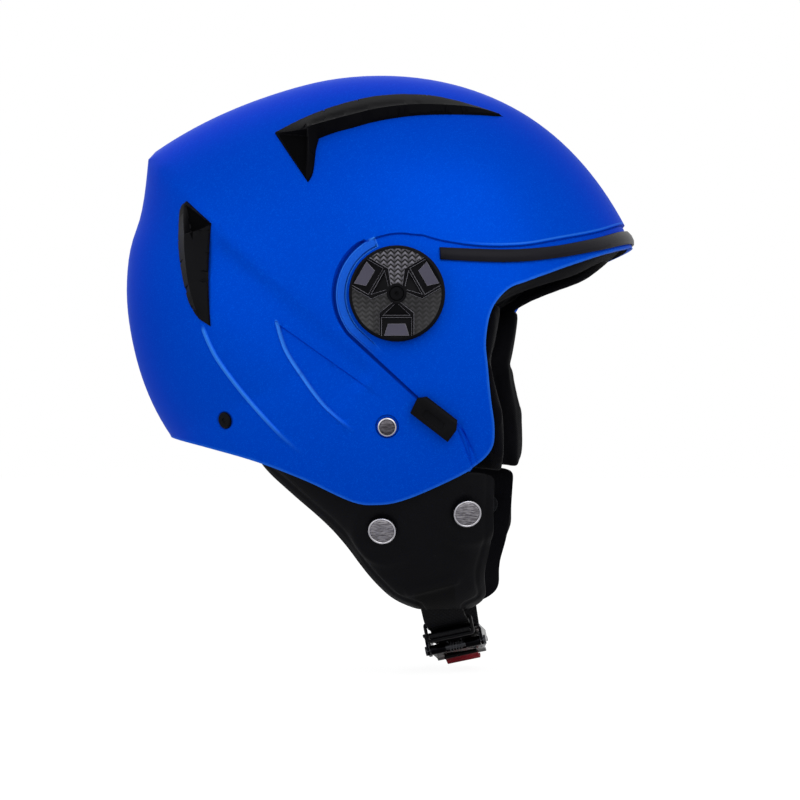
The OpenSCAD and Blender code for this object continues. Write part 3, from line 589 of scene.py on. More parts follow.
def carbon_weave():
    """Woven tows in upright zigzag columns, lighter in the upper fan, which faces the light"""
    material, tree, shader, where = start_finish(
        "carbon_weave", roughness=0.35, specular_ior_level=0.3)
    x, _, z = add(tree, "SeparateXYZ", {0: where}).outputs
    column = calc(tree, "FRACT", calc(tree, "DIVIDE", x, COLUMN_W))
    half = calc(tree, "ABSOLUTE", calc(tree, "SUBTRACT", column, 0.5))
    slant = calc(tree, "MULTIPLY_ADD", half, ZIGZAG_RISE, z)
    zigzag = calc(tree, "FRACT", calc(tree, "DIVIDE", slant, TOW_STEP))
    tow = calc(tree, "SMOOTH_MIN", calc(tree, "SUBTRACT", 1.0, zigzag), zigzag, 0.2)
    fade = calc(tree, "MULTIPLY_ADD", half, -1.5, 1.0)
    bright = calc(tree, "MULTIPLY", calc(tree, "GREATER_THAN", tow, 0.24), fade)
    upper = calc(tree, "MULTIPLY_ADD", calc(tree, "GREATER_THAN", z, UPPER_FAN_Z), 0.9, 0.1)
    share = calc(tree, "MULTIPLY", bright, upper)
    weave = mixed(tree, share, colour("070709"), colour("807e88"))
    tint(tree, shader, weave)
    bump(tree, shader, tow, 0.0003, 0.7)
    return material


def polished(name, base, roughness, wear):
    material, tree, shader, where = start_finish(name, metallic=1.0)
    tone = tinted(tree, shader, where, 240.0, base, wear)
    rough = calc(tree, "MULTIPLY_ADD", tone["Fac"], 0.12, roughness)
    tree.links.new(rough, shader.inputs["Roughness"])
    bump(tree, shader, noise(tree, where, 900.0, 2.0), 0.00002, 0.4)
    return material


# Where the tab's red starts, in metres: z = slope * x + height
TAPE_TOP = (0.236, -0.1763)


def red_tape():
    """Woven tape: red at its loose end, black where the lever holds it"""
    material, tree, shader, where = start_finish(
        "red_tape", roughness=0.65, specular_ior_level=0.15)
    tone = toned(tree, where, 140.0, "861020", "a81a2c")
    x, _, z = add(tree, "SeparateXYZ", {0: where}).outputs
    low = calc(tree, "LESS_THAN", z, calc(tree, "MULTIPLY_ADD", x, *TAPE_TOP))
    tint(tree, shader, mixed(tree, low, colour("0b0b0d"), tone["Color"]))
    weave = use(tree, WEAVE, Vector=where, Scale=3600.0)
    bump(tree, shader, weave["Height"], 0.0002, 0.7)
    return material


def streaked_cap(name, dark, light, roughness):
    """Brushed metal: fine streaks across the face"""
    material, tree, shader, where = start_finish(name, metallic=1.0)
    lay = add(tree, "Mapping",
              {"Vector": where, "Scale": (1.0, 1.0, 9.0), "Rotation": (0, 0.5, 0)})
    streaks = noise(tree, lay.outputs[0], 330.0, 3.0)
    level = add(tree, "MapRange", {0: streaks, 1: 0.38, 2: 0.62}).outputs[0]
    face = mixed(tree, level, colour(dark), colour(light))
    tint(tree, shader, face)
    rough = calc(tree, "MULTIPLY_ADD", level, 0.15, roughness)
    tree.links.new(rough, shader.inputs["Roughness"])
    bump(tree, shader, level, 0.00003, 0.5)
    return material


PAINT = shell_paint()
TRIM = satin_plastic("satin_black", "08080a", "0e0e11")
FAIRING = satin_plastic("fairing_black", "070709", "0c0c0f", 0.5, 0.015)
STRIP = satin_plastic("strip_black", "131217", "1c1b22", 0.38, 0.08)
# painted shade for the sunk mouths of the crown duct and the exhaust scoop
MOUTH_SHADE = satin_plastic("vent_mouth_shade", "030304", "050506", 0.8, 0.02)
# painted highlight: a light grey laid on the pivot covers' bevelled edges
EDGE_HIGHLIGHT = satin_plastic("painted_edge_highlight", "7e7d86", "a3a2ac", 0.3, 0.3)
PLATE = satin_plastic("pivot_pad_grey", "454351", "555362", 0.45, 0.15)
INNER = satin_plastic("bare_inner_shell", "0d0d10", "141418", 0.6)
CARBON = carbon_weave()
FOAM = foam_beads()
LINING = brushed_lining()
LEATHER = black_leatherette()
CLOTH = flap_cloth()
WEBBING = strap_webbing()
CAP = streaked_cap("brushed_cap", "565358", "a6a3a8", 0.25)
RIVET_FACE = streaked_cap("dark_rivet", "3a373c", "6a676d", 0.3)
RIM = polished("bright_chrome", "b4b2b8", 0.12, "d4d2d6")
BLACKENED = polished("black_chrome", "08080a", 0.12, "131316")
CHROME = polished("buckle_chrome", "5c5e63", 0.15, "8f9196")
STEEL = polished("plain_steel", "3c3d41", 0.35, "5a5b60")
TAPE = red_tape()


# ---- Shell ----

SHELL_EDGE = curve([
    (150, 61), (135.5, 55.5), (121.5, 50.3), (104, 43.5), (85, 36), (73.5, 31), (65, 20), (62, 4),
    (63, -10), (64.5, -26.5), (66.3, -42), (64.5, -53.5), (54.5, -63), (36, -72.5), (18, -79.8),
    (5, -82), (-8.5, -80.5), (-33, -69.5), (-59, -60), (-86, -53), (-110.5, -48), (-150, -41),
], 5)
PIVOT = np.array([16, 28]) * MM


def round_pivot(radius, start, end):
    """Part of a ring round the pivot; the radius is one number, or (degrees, millimetres) knots"""
    step = 4
    angles = np.arange(start, end + 0.5 * step, step)
    size = radius if np.isscalar(radius) else smooth_value(angles, radius)
    a = np.radians(angles)
    return PIVOT + (size * np.stack([np.cos(a), np.sin(a)]) * MM).T


def beside(line, gap):
    """The line moved sideways in the side view, to its left when gap is above 0"""
    way = np.gradient(line, axis=0)
    way /= np.maximum(np.hypot(*way.T), 1e-9)[:, None]
    return line + gap * MM * np.stack([-way[:, 1], way[:, 0]], 1)


LEDGE = curve([
    (150, 76), (135, 70), (119, 62.5), (98.5, 57.5), (79.5, 53.9), (58.5, 53.5), (40, 56), (29, 59),
], 6)
LIP = [(78, 32.2), (112, 31.8), (121, 32.6), (128, 34.4), (192, 34.4), (222, 34)]
FRONT_LINE = curve([(28.2, -29.4), (47.5, -41.5), (52.5, -53.5), (55.5, -71.5)], 6)
RECESS_EDGE = np.concatenate([LEDGE, round_pivot(LIP, 78, 222), FRONT_LINE])
RECESS = np.concatenate([RECESS_EDGE, np.array([(190, -72), (190, 76)]) * MM])
RING = np.concatenate([
    round_pivot(31.9, 113, 221), curve([(6.5, -5.7), (18, -16.4), (27, -24.6)], 2),
    curve([(22, -18), (13, -7.4), (3.5, 2.6)], 2), round_pivot(27.3, 113, 221)[::-1],
])
RING_OUTSIDE = RING[:33]
GROOVE = np.concatenate([round_pivot(33.2, 122, 220), beside(FRONT_LINE, 1.0)[:6]])
FLANK_CREASE = curve([
    (-84, 65.3), (-67.6, 50.2), (-48.4, 34.8), (-29.7, 19.1), (-13.9, 6.5), (7, -12.2),
], 8)
REAR_RIB = curve([
    (-88.7, 12.2), (-84.1, 1.6), (-78.6, -7.8), (-66.9, -22.9), (-55.2, -36), (-45.4, -46.1),
    (-33.9, -56),
], 6)
PANEL_TOP = curve([
    (-47.8, 13.1), (-35.5, 4.6), (-23.5, -3.8), (-7.1, -15.3), (8.5, -26.2), (17, -32.4),
], 6)
PANEL_LOW = curve([
    (-2, -47.8), (-7.3, -43.4), (-15.1, -36.9), (-23.7, -28.8), (-33.5, -15.8), (-43, -1.2),
    (-47.8, 13.1),
], 6)
FLANK_PANEL = np.concatenate([PANEL_TOP, PANEL_LOW])
DRAINS = [curve([(46.2, -41), (50.5, -51), (54.2, -62.5)], 5),
          curve([(48, -40.5), (53, -50), (57.3, -60.5)], 5)]
RIVET = np.array([10.5, -41]) * MM
PLUG = np.array([-77, -38]) * MM
RIVET_DISH, PLUG_DISH = 6.2, 4.8  # radii, in millimetres
REACH = 0.2  # cutting tools reach past the shell on both sides


def ring_line(centre, radius):
    a = np.linspace(0, 2 * math.pi, 41)
    return centre + radius * MM * np.stack([np.cos(a), np.sin(a)], 1)


def closed_above(edge):
    """Outline of all that lies above an edge which runs from the front to the back"""
    above = [(-REACH, edge[-1][1]), (-REACH, REACH), (REACH, REACH), (REACH, edge[0][1])]
    return np.concatenate([edge, above])


def prism(outline):
    """Tool: the outline drawn through from side to side"""
    n = len(outline)
    nothing_selected()
    bpy.ops.mesh.primitive_circle_add(vertices=n, radius=0.1, fill_type="NGON")
    tool = bpy.context.object
    place(tool, np.stack([outline[:, 0], np.full(n, -REACH), outline[:, 1]], 1))
    edit(tool)
    bpy.ops.mesh.extrude_region_move(TRANSFORM_OT_translate={"value": (0, 2 * REACH, 0)})
    bpy.ops.mesh.select_all(action="SELECT")
    bpy.ops.mesh.normals_make_consistent(inside=False)
    done()
    return tool


FINE_DOME = (168, 84)  # segments and rings


def dome(name, outline, off, segments, rings):
    """Open sheet on the surface grown by off, cut to a side-view outline"""
    nothing_selected()
    bpy.ops.mesh.primitive_uv_sphere_add(segments=segments, ring_count=rings, radius=0.15)
    sheet = bpy.context.object
    sheet.name = name
    place(sheet, onto_surface(points(sheet), off))
    tool = prism(outline)
    modify(sheet, "BOOLEAN", operation="INTERSECT", solver="EXACT", object=tool)
    bpy.data.objects.remove(tool)
    drop_faces(sheet, fullness(face_middles(sheet), off) < 0.97)
    split_wide_faces(sheet)
    merge_doubles(sheet, 0.12 * MM)
    return sheet


def score(sheet, lines):
    """Cuts side-view lines into a sheet, so that its edges can follow them"""
    for line in lines:
        n = len(line)
        nothing_selected()
        bpy.ops.mesh.primitive_grid_add(x_subdivisions=n - 1, y_subdivisions=1, size=1)
        tool = bpy.context.object
        corner = points(tool)
        order = np.round((corner[:, 0] + 0.5) * (n - 1)).astype(int)
        place(tool, np.stack([line[order, 0], np.sign(corner[:, 1]) * REACH, line[order, 1]], 1))
        marks = tool.data.attributes.new("wall", "INT", "FACE")
        marks.data.foreach_set("value", np.ones(n - 1, int))
        count = len(sheet.data.polygons)
        take(sheet)
        tool.select_set(True)
        bpy.ops.object.join()
        edit(sheet, np.arange(len(sheet.data.polygons)) >= count)
        bpy.ops.mesh.intersect(mode="SELECT_UNSELECT", separate_mode="NONE", solver="EXACT")
        done()
        wall = np.zeros(len(sheet.data.polygons), int)
        sheet.data.attributes["wall"].data.foreach_get("value", wall)
        drop_faces(sheet, wall > 0)
    sheet.data.attributes.remove(sheet.data.attributes["wall"])
    merge_doubles(sheet, 0.06 * MM)
    split_wide_faces(sheet)


def way_off(where):
    """Direction straight off the helmet's smooth surface at each place"""
    steps = np.eye(3) * 1e-4
    way = np.stack([fullness(where + step) - fullness(where - step) for step in steps], 1)
    return way / np.linalg.norm(way, axis=1)[:, None]


def near_lines(where, lines, width):
    places = side_view(where)
    close = np.zeros(len(where), bool)
    for line in lines:
        close |= line_distance(places, line)[0] < width
    return close


def shell_relief(where):
    """Height of the shell's ledges, creases and dishes over its smooth surface"""
    places = side_view(where)

    # area the visor travels over, with the raised ring round the pivot
    within = inside(places, RECESS)
    gap, _ = line_distance(places, RECESS_EDGE)
    height = -1.5 * MM * within * ramp(gap, 0, 0.6 * MM)
    gap, _ = line_distance(places, closed(RING))
    _, along = line_distance(places, RING_OUTSIDE)
    fade = 1 - ramp(along, 58 * MM, 82 * MM)
    height += 1.35 * MM * inside(places, RING) * ramp(gap, 0, 0.5 * MM) * fade

    # facet line from the exhaust scoop to the ring: the flank falls away below it
    gap, along = line_distance(places, FLANK_CREASE)
    start, end = FLANK_CREASE[0], FLANK_CREASE[-1]
    (run, climb), (x, z) = end - start, (places - start).T
    below = run * z - climb * x < 0
    length = ramp(along, -4 * MM, 16 * MM) * (1 - ramp(along, 112 * MM, 123 * MM))
    fall = np.clip(gap / (7 * MM), 0, 1) * (1 - ramp(gap, 8 * MM, 40 * MM))
    height -= below * ~within * length * 1.5 * MM * fall

    # rib at the back and the sunk three-cornered panel with its rib
    gap, along = line_distance(places, REAR_RIB)
    rise = ramp(along, 0, 4 * MM) * (1 - ramp(along, 58 * MM, 92 * MM))
    height += 1.1 * MM * (1 - ramp(gap, 0.5 * MM, 1.3 * MM)) * rise
    gap, _ = line_distance(places, np.concatenate([PANEL_LOW, PANEL_TOP]))
    open_end = ramp(np.hypot(*(places - PANEL_TOP[0]).T), 42 * MM, 74 * MM)
    height -= inside(places, FLANK_PANEL) * 1.2 * MM * ramp(gap, 0, 0.8 * MM) * (1 - open_end)
    gap, along = line_distance(places, PANEL_LOW)
    height += 0.9 * MM * (1 - ramp(gap, 0.5 * MM, 1.2 * MM)) * ramp(along, 3 * MM, 22 * MM)
    gap, along = line_distance(places, GROOVE)
    height -= 0.7 * MM * (1 - ramp(gap, 0.3 * MM, 0.9 * MM)) * ramp(along, 0, 4 * MM)

    # drain grooves below the visor rest, and the dishes of the rivet and the rear plug
    for line in DRAINS:
        gap, along = line_distance(places, line)
        height -= 0.7 * MM * (1 - ramp(gap, 0.2 * MM, 0.9 * MM)) * ramp(along, 0, 3 * MM)
    for centre, radius in ((RIVET, RIVET_DISH * MM), (PLUG, PLUG_DISH * MM)):
        gap = np.hypot(*(places - centre).T)
        height -= 0.9 * MM * (1 - ramp(gap, radius - 0.6 * MM, radius))
    return height


def painted_edge_light(where):
    """Painted light for the shell's paint: painted highlight above 0 along raised edges, ribs, the
    rim and the ledge lip, painted shade below 0 in grooves
    """
    places = side_view(where)

    def band(line, inner, outer):
        gap, along = line_distance(places, line)
        return 1 - ramp(gap, inner * MM, outer * MM), along

    # painted highlight on the raised ring and along its edges
    edge, _ = band(closed(RING), 0.15, 0.55)
    _, along = line_distance(places, RING_OUTSIDE)
    fade = 1 - ramp(along, 50 * MM, 82 * MM)
    painted_light = fade * np.maximum(0.2 * inside(places, RING), 0.85 * edge)
    edge, along = band(REAR_RIB, 0.5, 1.3)
    fade = 1 - ramp(along, 50 * MM, 90 * MM)
    painted_light = np.maximum(painted_light, 0.6 * edge * ramp(along, 0, 4 * MM) * fade)
    edge, along = band(PANEL_LOW, 0.5, 1.2)
    painted_light = np.maximum(painted_light, 0.6 * edge * ramp(along, 4 * MM, 40 * MM))
    # painted highlight along the shell's rim and the lip above the brow ledge
    painted_light = np.maximum(painted_light, 0.3 * band(SHELL_EDGE, 0.4, 1.6)[0])
    edge, along = band(beside(LEDGE, -0.9), 0.2, 0.7)
    painted_light = np.maximum(painted_light, 0.45 * edge * (1 - ramp(along, 70 * MM, 112 * MM)))
    # painted shade along the groove round the ring
    dark = 0.8 * band(GROOVE, 0.4, 0.9)[0]
    return np.where(dark > 0.02, -dark, painted_light)


def shell_lines():
    """Side-view lines that the shell's mesh follows, where its relief starts, turns and ends"""
    def around(line, *gaps):
        return [beside(line, gap) for gap in gaps]

    return [
        RECESS_EDGE, beside(RECESS_EDGE, 0.6), *around(closed(RING), -0.6, 0, 0.5), FLANK_CREASE,
        *around(GROOVE, -0.9, -0.35, 0.35, 0.9), PANEL_TOP, beside(PANEL_TOP, -0.8),
        *around(PANEL_LOW, -1.2, -0.5, 0.5, 1.2), *around(REAR_RIB, -1.3, -0.5, 0.5, 1.3),
        *around(LEDGE, -1.6, -0.9, -0.3), beside(SHELL_EDGE, -1.6),
        *around(DRAINS[0], -0.9, 0, 0.9), *around(DRAINS[1], -0.9, 0, 0.9),
        ring_line(RIVET, RIVET_DISH), ring_line(RIVET, 5.6),
        ring_line(PLUG, PLUG_DISH), ring_line(PLUG, 4.2),
    ]


def build_shell():
    shell = dome("shell_outer", closed_above(SHELL_EDGE), 0.0, *FINE_DOME)
    score(shell, shell_lines())
    sharp = [FLANK_CREASE, REAR_RIB, FLANK_PANEL, RECESS_EDGE, SHELL_EDGE]
    refine(shell, lambda c: near_lines(c, sharp, 5 * MM), 1.6 * MM)
    where = points(shell)
    rim = line_distance(side_view(where), SHELL_EDGE)[0] < 0.05 * MM
    where = np.where(rim[:, None], where, onto_surface(where))
    place(shell, where)
    place(shell, where + way_off(where) * shell_relief(where)[:, None])
    # per-point painted light for the paint: painted highlight on raised edges, painted shade in
    # grooves
    painted_light = shell.data.attributes.new("painted_light", "FLOAT", "POINT")
    painted_light.data.foreach_set("value", painted_edge_light(where))
    wear(shell, PAINT, INNER)
    modify(shell, "SOLIDIFY", thickness=SHELL_T, offset=-1, material_offset=1,
           material_offset_rim=0)
    return finished(shell, HELMET, "shell_paint", None, "outer_shell", angle=40)


FOAM_EDGE = curve([
    (150, 68), (134.5, 62), (122.5, 55.5), (104.5, 49.5), (86, 43.5), (74, 36.5), (60, 26),
    (39.5, 18.5), (14, 16), (-8, 14), (-18, 2.5), (-19.5, -19.5), (-22, -38), (-27, -49),
    (-40, -50), (-60, -42.5), (-87, -36), (-150, -22),
], 3)
LINING_EDGE = curve([
    (150, 74), (122, 63), (104, 57), (86, 51), (74, 45), (60, 34), (40, 26), (14, 24), (-12, 21),
    (-24, 6), (-27, -20), (-30, -36), (-40, -43), (-60, -36), (-86, -29), (-150, -14),
], 3)

# How far in the foam's outer and the lining's inner surface lies, and how thick both are
FOAM_IN, FOAM_T = 3.9 * MM, 22 * MM
LINING_IN, LINING_T = 33.9 * MM, 6.2 * MM


def build_liners():
    foam = dome("impact_foam", closed_above(FOAM_EDGE), -FOAM_IN, 96, 48)
    modify(foam, "SOLIDIFY", thickness=FOAM_T, offset=-1)
    bevel(foam, 1.2 * MM)
    finished(foam, HELMET, "foam_black", FOAM, "eps_liner", angle=40)

    lining = dome("crown_comfort_lining", closed_above(LINING_EDGE), -LINING_IN, 128, 64)
    where = points(lining)
    # padded fields between sewn channels
    seam = np.minimum.reduce([np.abs(where[:, 1] - s * MM) for s in (-46, -16, 16, 46)])
    rib = np.minimum.reduce([np.abs(where[:, 0] - s * MM) for s in (-62, -22, 22, 62)])
    puff = 1.6 * MM * (ramp(seam, 0, 7 * MM) * ramp(rib, 0, 7 * MM) - 1)
    place(lining, where - outward(lining) * puff[:, None])
    modify(lining, "SOLIDIFY", thickness=LINING_T, offset=1)
    finished(lining, HELMET, "lining_fabric", LINING, "crown_lining", angle=60)


build_shell()
build_liners()


# ---- Rigid trim and fittings ----

def bevelled(node, name, width, finish, body=HELMET, slot="trim_black", segments=2,
             edge_finish=None):
    """The node's own shape with its sharp edges rounded as a mould leaves them"""
    piece = copy_of(node, name)
    modify(piece, "DECIMATE", decimate_type="DISSOLVE", angle_limit=math.radians(0.6))
    if edge_finish:
        wear(piece, finish, edge_finish)
        bevel(piece, width, segments, 30, material=1)
    else:
        wear(piece, finish)
        bevel(piece, width, segments, 30)
    return finished(piece, body, slot, None, node, angle=40)


def build_pivot_covers():
    """Round covers: glossy lobes with a painted highlight along their bevelled edges, grey pads,
    carbon-weave fans
    """
    for side, sign in SIDES:
        cover = bevelled("pivot_cover_" + side, "pivot_cover_dressed_" + side, 0.28 * MM, TRIM,
                         "cover_" + side, segments=1, edge_finish=EDGE_HIGHLIGHT)
        for finish in (CARBON, PLATE):
            cover.data.materials.append(finish)
        where = face_middles(cover)
        x, z = (side_view(where) - PIVOT).T
        radius = np.hypot(x, z)
        top = where[:, 1] * sign
        flat = np.array([p.normal.y * sign for p in cover.data.polygons]) > 0.9
        slots = np.array([p.material_index for p in cover.data.polygons])
        # three lobes, the first at 30 degrees: the angle from the nearest one, and the distance
        # from its middle line
        from_lobe = np.abs((np.degrees(np.arctan2(z, x)) - 30 + 60) % 120 - 60)
        across = np.abs(radius * np.sin(np.radians(from_lobe)))
        sunk = flat & (top < 121.3 * MM) & (top > 120.2 * MM) & (radius > 5 * MM)
        fans = sunk & (across > 9 * MM) | sunk & (radius < 12.5 * MM) & (from_lobe > 35)
        pads = flat & (top > 121.6 * MM) & (radius > 15.2 * MM) & (radius < 22.6 * MM)
        slots[fans] = 2
        slots[pads & (across < 6.6 * MM)] = 3
        # the painted edge highlight is taken off the rim and hub edges
        slots[(slots == 1) & ((radius > 23.2 * MM) | (radius < 6 * MM))] = 0
        cover.data.polygons.foreach_set("material_index", slots)


FAIRING_LOW = 1.1 * MM


def ridge_height(places, ridge, edge, peak, power):
    """Rises from the edge to the ridge, whose own height runs down from its peak"""
    to_ridge, along = line_distance(places, ridge)
    to_edge, _ = line_distance(places, edge)
    length = float(np.hypot(*np.diff(ridge, axis=0).T).sum())
    drop = np.clip(1 - along / length, 0, 1) ** power
    crest = FAIRING_LOW + (peak - FAIRING_LOW) * drop
    share = np.maximum(to_edge + to_ridge, 1e-6)
    return FAIRING_LOW + (crest - FAIRING_LOW) * to_edge / share


def fairing_height(places, edge, lip, peak, ridges):
    """The highest of the ridges' slopes, low in the mouth, with a wall along the edge"""
    slopes = [ridge_height(places, line, edge, peak, power) for line, power in ridges]
    gap, _ = line_distance(places, lip)
    deep = inside(places, lip[:-1]) * ramp(gap, 0, 0.5 * MM)
    height = np.maximum.reduce(slopes) * (1 - deep) + FAIRING_LOW * deep
    return height * ramp(line_distance(places, edge)[0], 0, 0.4 * MM)


def raised(name, outline, ridges, peak, mouth, side, node, finish):
    """Moulded fairing on the shell: a sheet lifted to its own height, with a wall"""
    edge, lip = closed(outline), closed(mouth)
    piece = dome(name, outline, 0.0, *FINE_DOME)
    drop_faces(piece, face_middles(piece)[:, 1] * side < 0)
    middle = mouth.mean(axis=0)
    inner = middle + (mouth - middle) * 0.9
    score(piece, [*[line for line, _ in ridges], lip, closed(inner)])
    refine(piece, lambda c: np.ones(len(c), bool), 2.2 * MM)
    refine(piece, lambda c: near_lines(c, [edge], 1.2 * MM) | near_lines(c, [lip], 0.9 * MM),
           0.5 * MM)
    where = onto_surface(points(piece))
    place(piece, where)
    height = fairing_height(side_view(where), edge, lip, peak, ridges)
    place(piece, where + way_off(where) * height[:, None])
    # the mouth's floor gets the darker black of the painted shade
    wear(piece, finish, MOUTH_SHADE)
    deep = inside(side_view(face_middles(piece)), mouth)
    piece.data.polygons.foreach_set("material_index", deep.astype(int))
    modify(piece, "SOLIDIFY", thickness=0.5 * MM, offset=-1)
    return finished(piece, HELMET, "trim_black", None, node, angle=28)


DUCT = np.concatenate([
    curve([(-52.4, 114), (-38.4, 121.2), (-25.9, 126.6), (-11.6, 131.2), (0.9, 133.9), (15.3, 135),
           (28.9, 134.4), (42.6, 131.6), (56.3, 127.6), (67.2, 124)], 4),
    curve([(62, 123.9), (50.2, 124.1), (24.4, 123.3), (3.7, 120.2), (-11.8, 115.9), (-20, 113.6),
           (-28, 110.6)], 4),
    curve([(-29.2, 104), (-29.9, 92), (-32.4, 86.8)], 3),
])
DUCT_RIDGE = curve([
    (-32.4, 112.2), (-18.5, 116.6), (-11, 118.9), (4.2, 123.2), (24.5, 126.2), (50.2, 126.6),
    (65.5, 124.3),
], 5)
DUCT_WALL = curve([(-32.2, 111.6), (-31.4, 98), (-32.3, 88.5)], 4)
DUCT_MOUTH = np.array([(-50.2, 113.1), (-33.6, 89.4), (-33.1, 111.6)]) * MM
SCOOP = np.concatenate([
    curve([(-98.1, 77.9), (-101.3, 75), (-102.3, 68), (-102.1, 52), (-99.1, 36), (-95.4, 23.3),
           (-90.2, 15.3)], 4),
    curve([(-83.6, 11.3), (-84.5, 25.2), (-85, 41), (-84.5, 56.9), (-83.7, 65.5)], 4),
])
SCOOP_RIDGE = curve([(-94.6, 59.1), (-95.1, 49.2), (-94.0, 35.9), (-91.9, 25.3), (-89.7, 16.4)], 5)
SCOOP_WALL = curve([(-94.6, 59.1), (-97.1, 67.6), (-99.1, 76.1)], 4)
SCOOP_LIP = curve([(-94.6, 59.1), (-89.3, 61.6), (-84.0, 64.5)], 4)
SCOOP_MOUTH = np.array([(-98.5, 76.1), (-84.0, 65.3), (-94.4, 59.5)]) * MM


def build_air_parts():
    duct = [(DUCT_RIDGE, 0.8), (DUCT_WALL, 1.0)]
    scoop = [(SCOOP_RIDGE, 0.7), (SCOOP_WALL, 1.0), (SCOOP_LIP, 1.0)]
    for side, sign in SIDES:
        raised("crown_duct_dressed_" + side, DUCT, duct, 7.4 * MM, DUCT_MOUTH, sign,
               "crown_duct_" + side, FAIRING)
        raised("exhaust_scoop_" + side, SCOOP, scoop, 6.4 * MM, SCOOP_MOUTH, sign,
               "exhaust_vent_" + side, TRIM)


def turned(name, profile, rows):
    """A profile of (radius, height) in millimetres, turned about each place's own axis"""
    made = []
    for centre, axis in rows:
        nothing_selected()
        bpy.ops.mesh.primitive_grid_add(x_subdivisions=48, y_subdivisions=len(profile) - 1, size=1)
        piece = bpy.context.object
        corner = points(piece)
        angle = (corner[:, 0] + 0.5) * 2 * math.pi
        step = np.round((corner[:, 1] + 0.5) * (len(profile) - 1)).astype(int)
        radius = np.array([p[0] for p in profile])[step] * MM
        height = np.array([p[1] for p in profile])[step] * MM
        u = axis.orthogonal().normalized()
        v = axis.cross(u)
        where = [centre + u * (r * math.cos(a)) + v * (r * math.sin(a)) + axis * h
                 for a, r, h in zip(angle, radius, height)]
        place(piece, np.array([tuple(w) for w in where]))
        made.append(piece)
    take(made[0])
    for piece in made[1:]:
        piece.select_set(True)
    bpy.ops.object.join()
    piece = made[0]
    piece.name = name
    edit(piece)
    bpy.ops.mesh.remove_doubles(threshold=0.00001)
    bpy.ops.mesh.normals_make_consistent(inside=False)
    done()
    return piece


def tops_of(node, groups):
    """Highest place and outward direction of each round fitting of a CAD node"""
    where = points(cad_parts[node])
    rows = []
    for side in (-1, 1):
        for low, high in groups:
            own = where[(where[:, 1] * side > 0) & (where[:, 0] > low) & (where[:, 0] < high)]
            middle = Vector((own.min(0) + own.max(0)) / 2)
            axis = Vector(way_off(np.array([tuple(middle)]))[0])
            rise = (own - np.array(middle)) @ np.array(axis)
            rows.append((middle + axis * float(rise.max()), axis))
    return rows


# Round fittings by node: name, finish, where the bright rim starts, between which x they sit,
# and their profile of (radius, height) in millimetres
ROUND_FITTINGS = {
    "snap_caps": ("snap_cap_faces", CAP, 6.3 * MM, [(-0.02, 0.025), (0.03, 0.08)], [
        (0, 0), (3, -0.05), (5.2, -0.3), (6.1, -0.55), (6.3, -0.75), (6.5, -0.45), (6.9, -0.3),
        (7.2, -0.45), (7.4, -0.9), (7.4, -1.8), (7, -2), (0, -2),
    ]),
    "strap_rivets": ("strap_rivet_heads", RIVET_FACE, 4.1 * MM, [(0, 0.03)], [
        (0, 0), (2.4, -0.05), (3.4, -0.3), (3.8, -0.7), (4, -0.9), (4.2, -0.65), (4.7, -0.7),
        (5, -1.1), (5, -2.2), (2.4, -2.3), (2.4, -6), (0, -6),
    ]),
}
RIM_W = 1.1 * MM  # width of the bright rim


def build_round_fittings():
    for node, (name, finish, rim, groups, profile) in ROUND_FITTINGS.items():
        rows = tops_of(node, groups)
        piece = turned(name, profile, rows)
        wear(piece, finish, RIM)
        centres = np.array([tuple(c) for c, _ in rows])
        gaps = np.linalg.norm(face_middles(piece)[:, None, :] - centres[None], axis=2)
        far = np.min(gaps, axis=1)
        bright = (far > rim) & (far < rim + RIM_W)
        piece.data.polygons.foreach_set("material_index", bright.astype(int))
        finished(piece, HELMET, "bright_cap", None, node, angle=50)


def build_fittings():
    build_pivot_covers()
    build_air_parts()
    build_round_fittings()
    for side, _ in SIDES:
        bevelled("visor_rest_" + side, "visor_rest_dressed_" + side, 0.5 * MM, TRIM, segments=3)
    bevelled("brow_strip", "brow_strip_dressed", 0.35 * MM, STRIP)
    bevelled("buckle_frame", "buckle_frame_dressed", 0.3 * MM, BLACKENED,
             slot="buckle_chrome", edge_finish=CHROME)
    bevelled("buckle_lever", "buckle_lever_dressed", 0.35 * MM, BLACKENED, "lever",
             "buckle_chrome", 3)
    bevelled("strap_tongue", "strap_tongue_dressed", 0.2 * MM, TRIM, "tongue")
    bevelled("strap_keeper", "strap_keeper_dressed", 0.3 * MM, TRIM)


# ---- Soft pieces ----

PRESSURE = 4.0
SWELL_FRAMES = 20


def swell_up(piece, cap):
    """Fills a pad with air for a moment, so that it crowns; no point moves further than cap"""
    scene = bpy.context.scene
    before = points(piece)
    take(piece)
    cloth = piece.modifiers.new("filling", "CLOTH")
    cloth.settings.use_pressure = True
    cloth.settings.uniform_pressure_force = PRESSURE
    cloth.settings.effector_weights.gravity = 0
    cloth.point_cache.frame_start, cloth.point_cache.frame_end = 1, SWELL_FRAMES
    for step in range(1, SWELL_FRAMES + 1):
        scene.frame_set(step)
    shaped = piece.evaluated_get(bpy.context.evaluated_depsgraph_get()).to_mesh()
    after = np.empty(len(shaped.vertices) * 3)
    shaped.vertices.foreach_get("co", after)
    piece.modifiers.remove(cloth)
    scene.frame_set(1)
    move = after.reshape(-1, 3) - before
    length = np.linalg.norm(move, axis=1)
    length[length < 1e-9] = 1e-9
    place(piece, before + move * (np.minimum(length, cap) / length)[:, None])


# Pads stay this far inside the shell's outer surface
PAD_IN = 4.3 * MM


def keep_inside(piece):
    """Brings back what stands out too near to the shell"""
    where = points(piece)
    out = fullness(where, -PAD_IN) > 1
    where[out] = onto_surface(where[out], -PAD_IN)
    place(piece, where)


def padded(node, name, voxel, shrink, cap):
    piece = copy_of(node, name)
    modify(piece, "REMESH", mode="VOXEL", voxel_size=voxel, adaptivity=0.0)
    relax(piece, 3)
    place(piece, points(piece) - outward(piece) * shrink)
    swell_up(piece, cap)
    keep_inside(piece)
    return piece


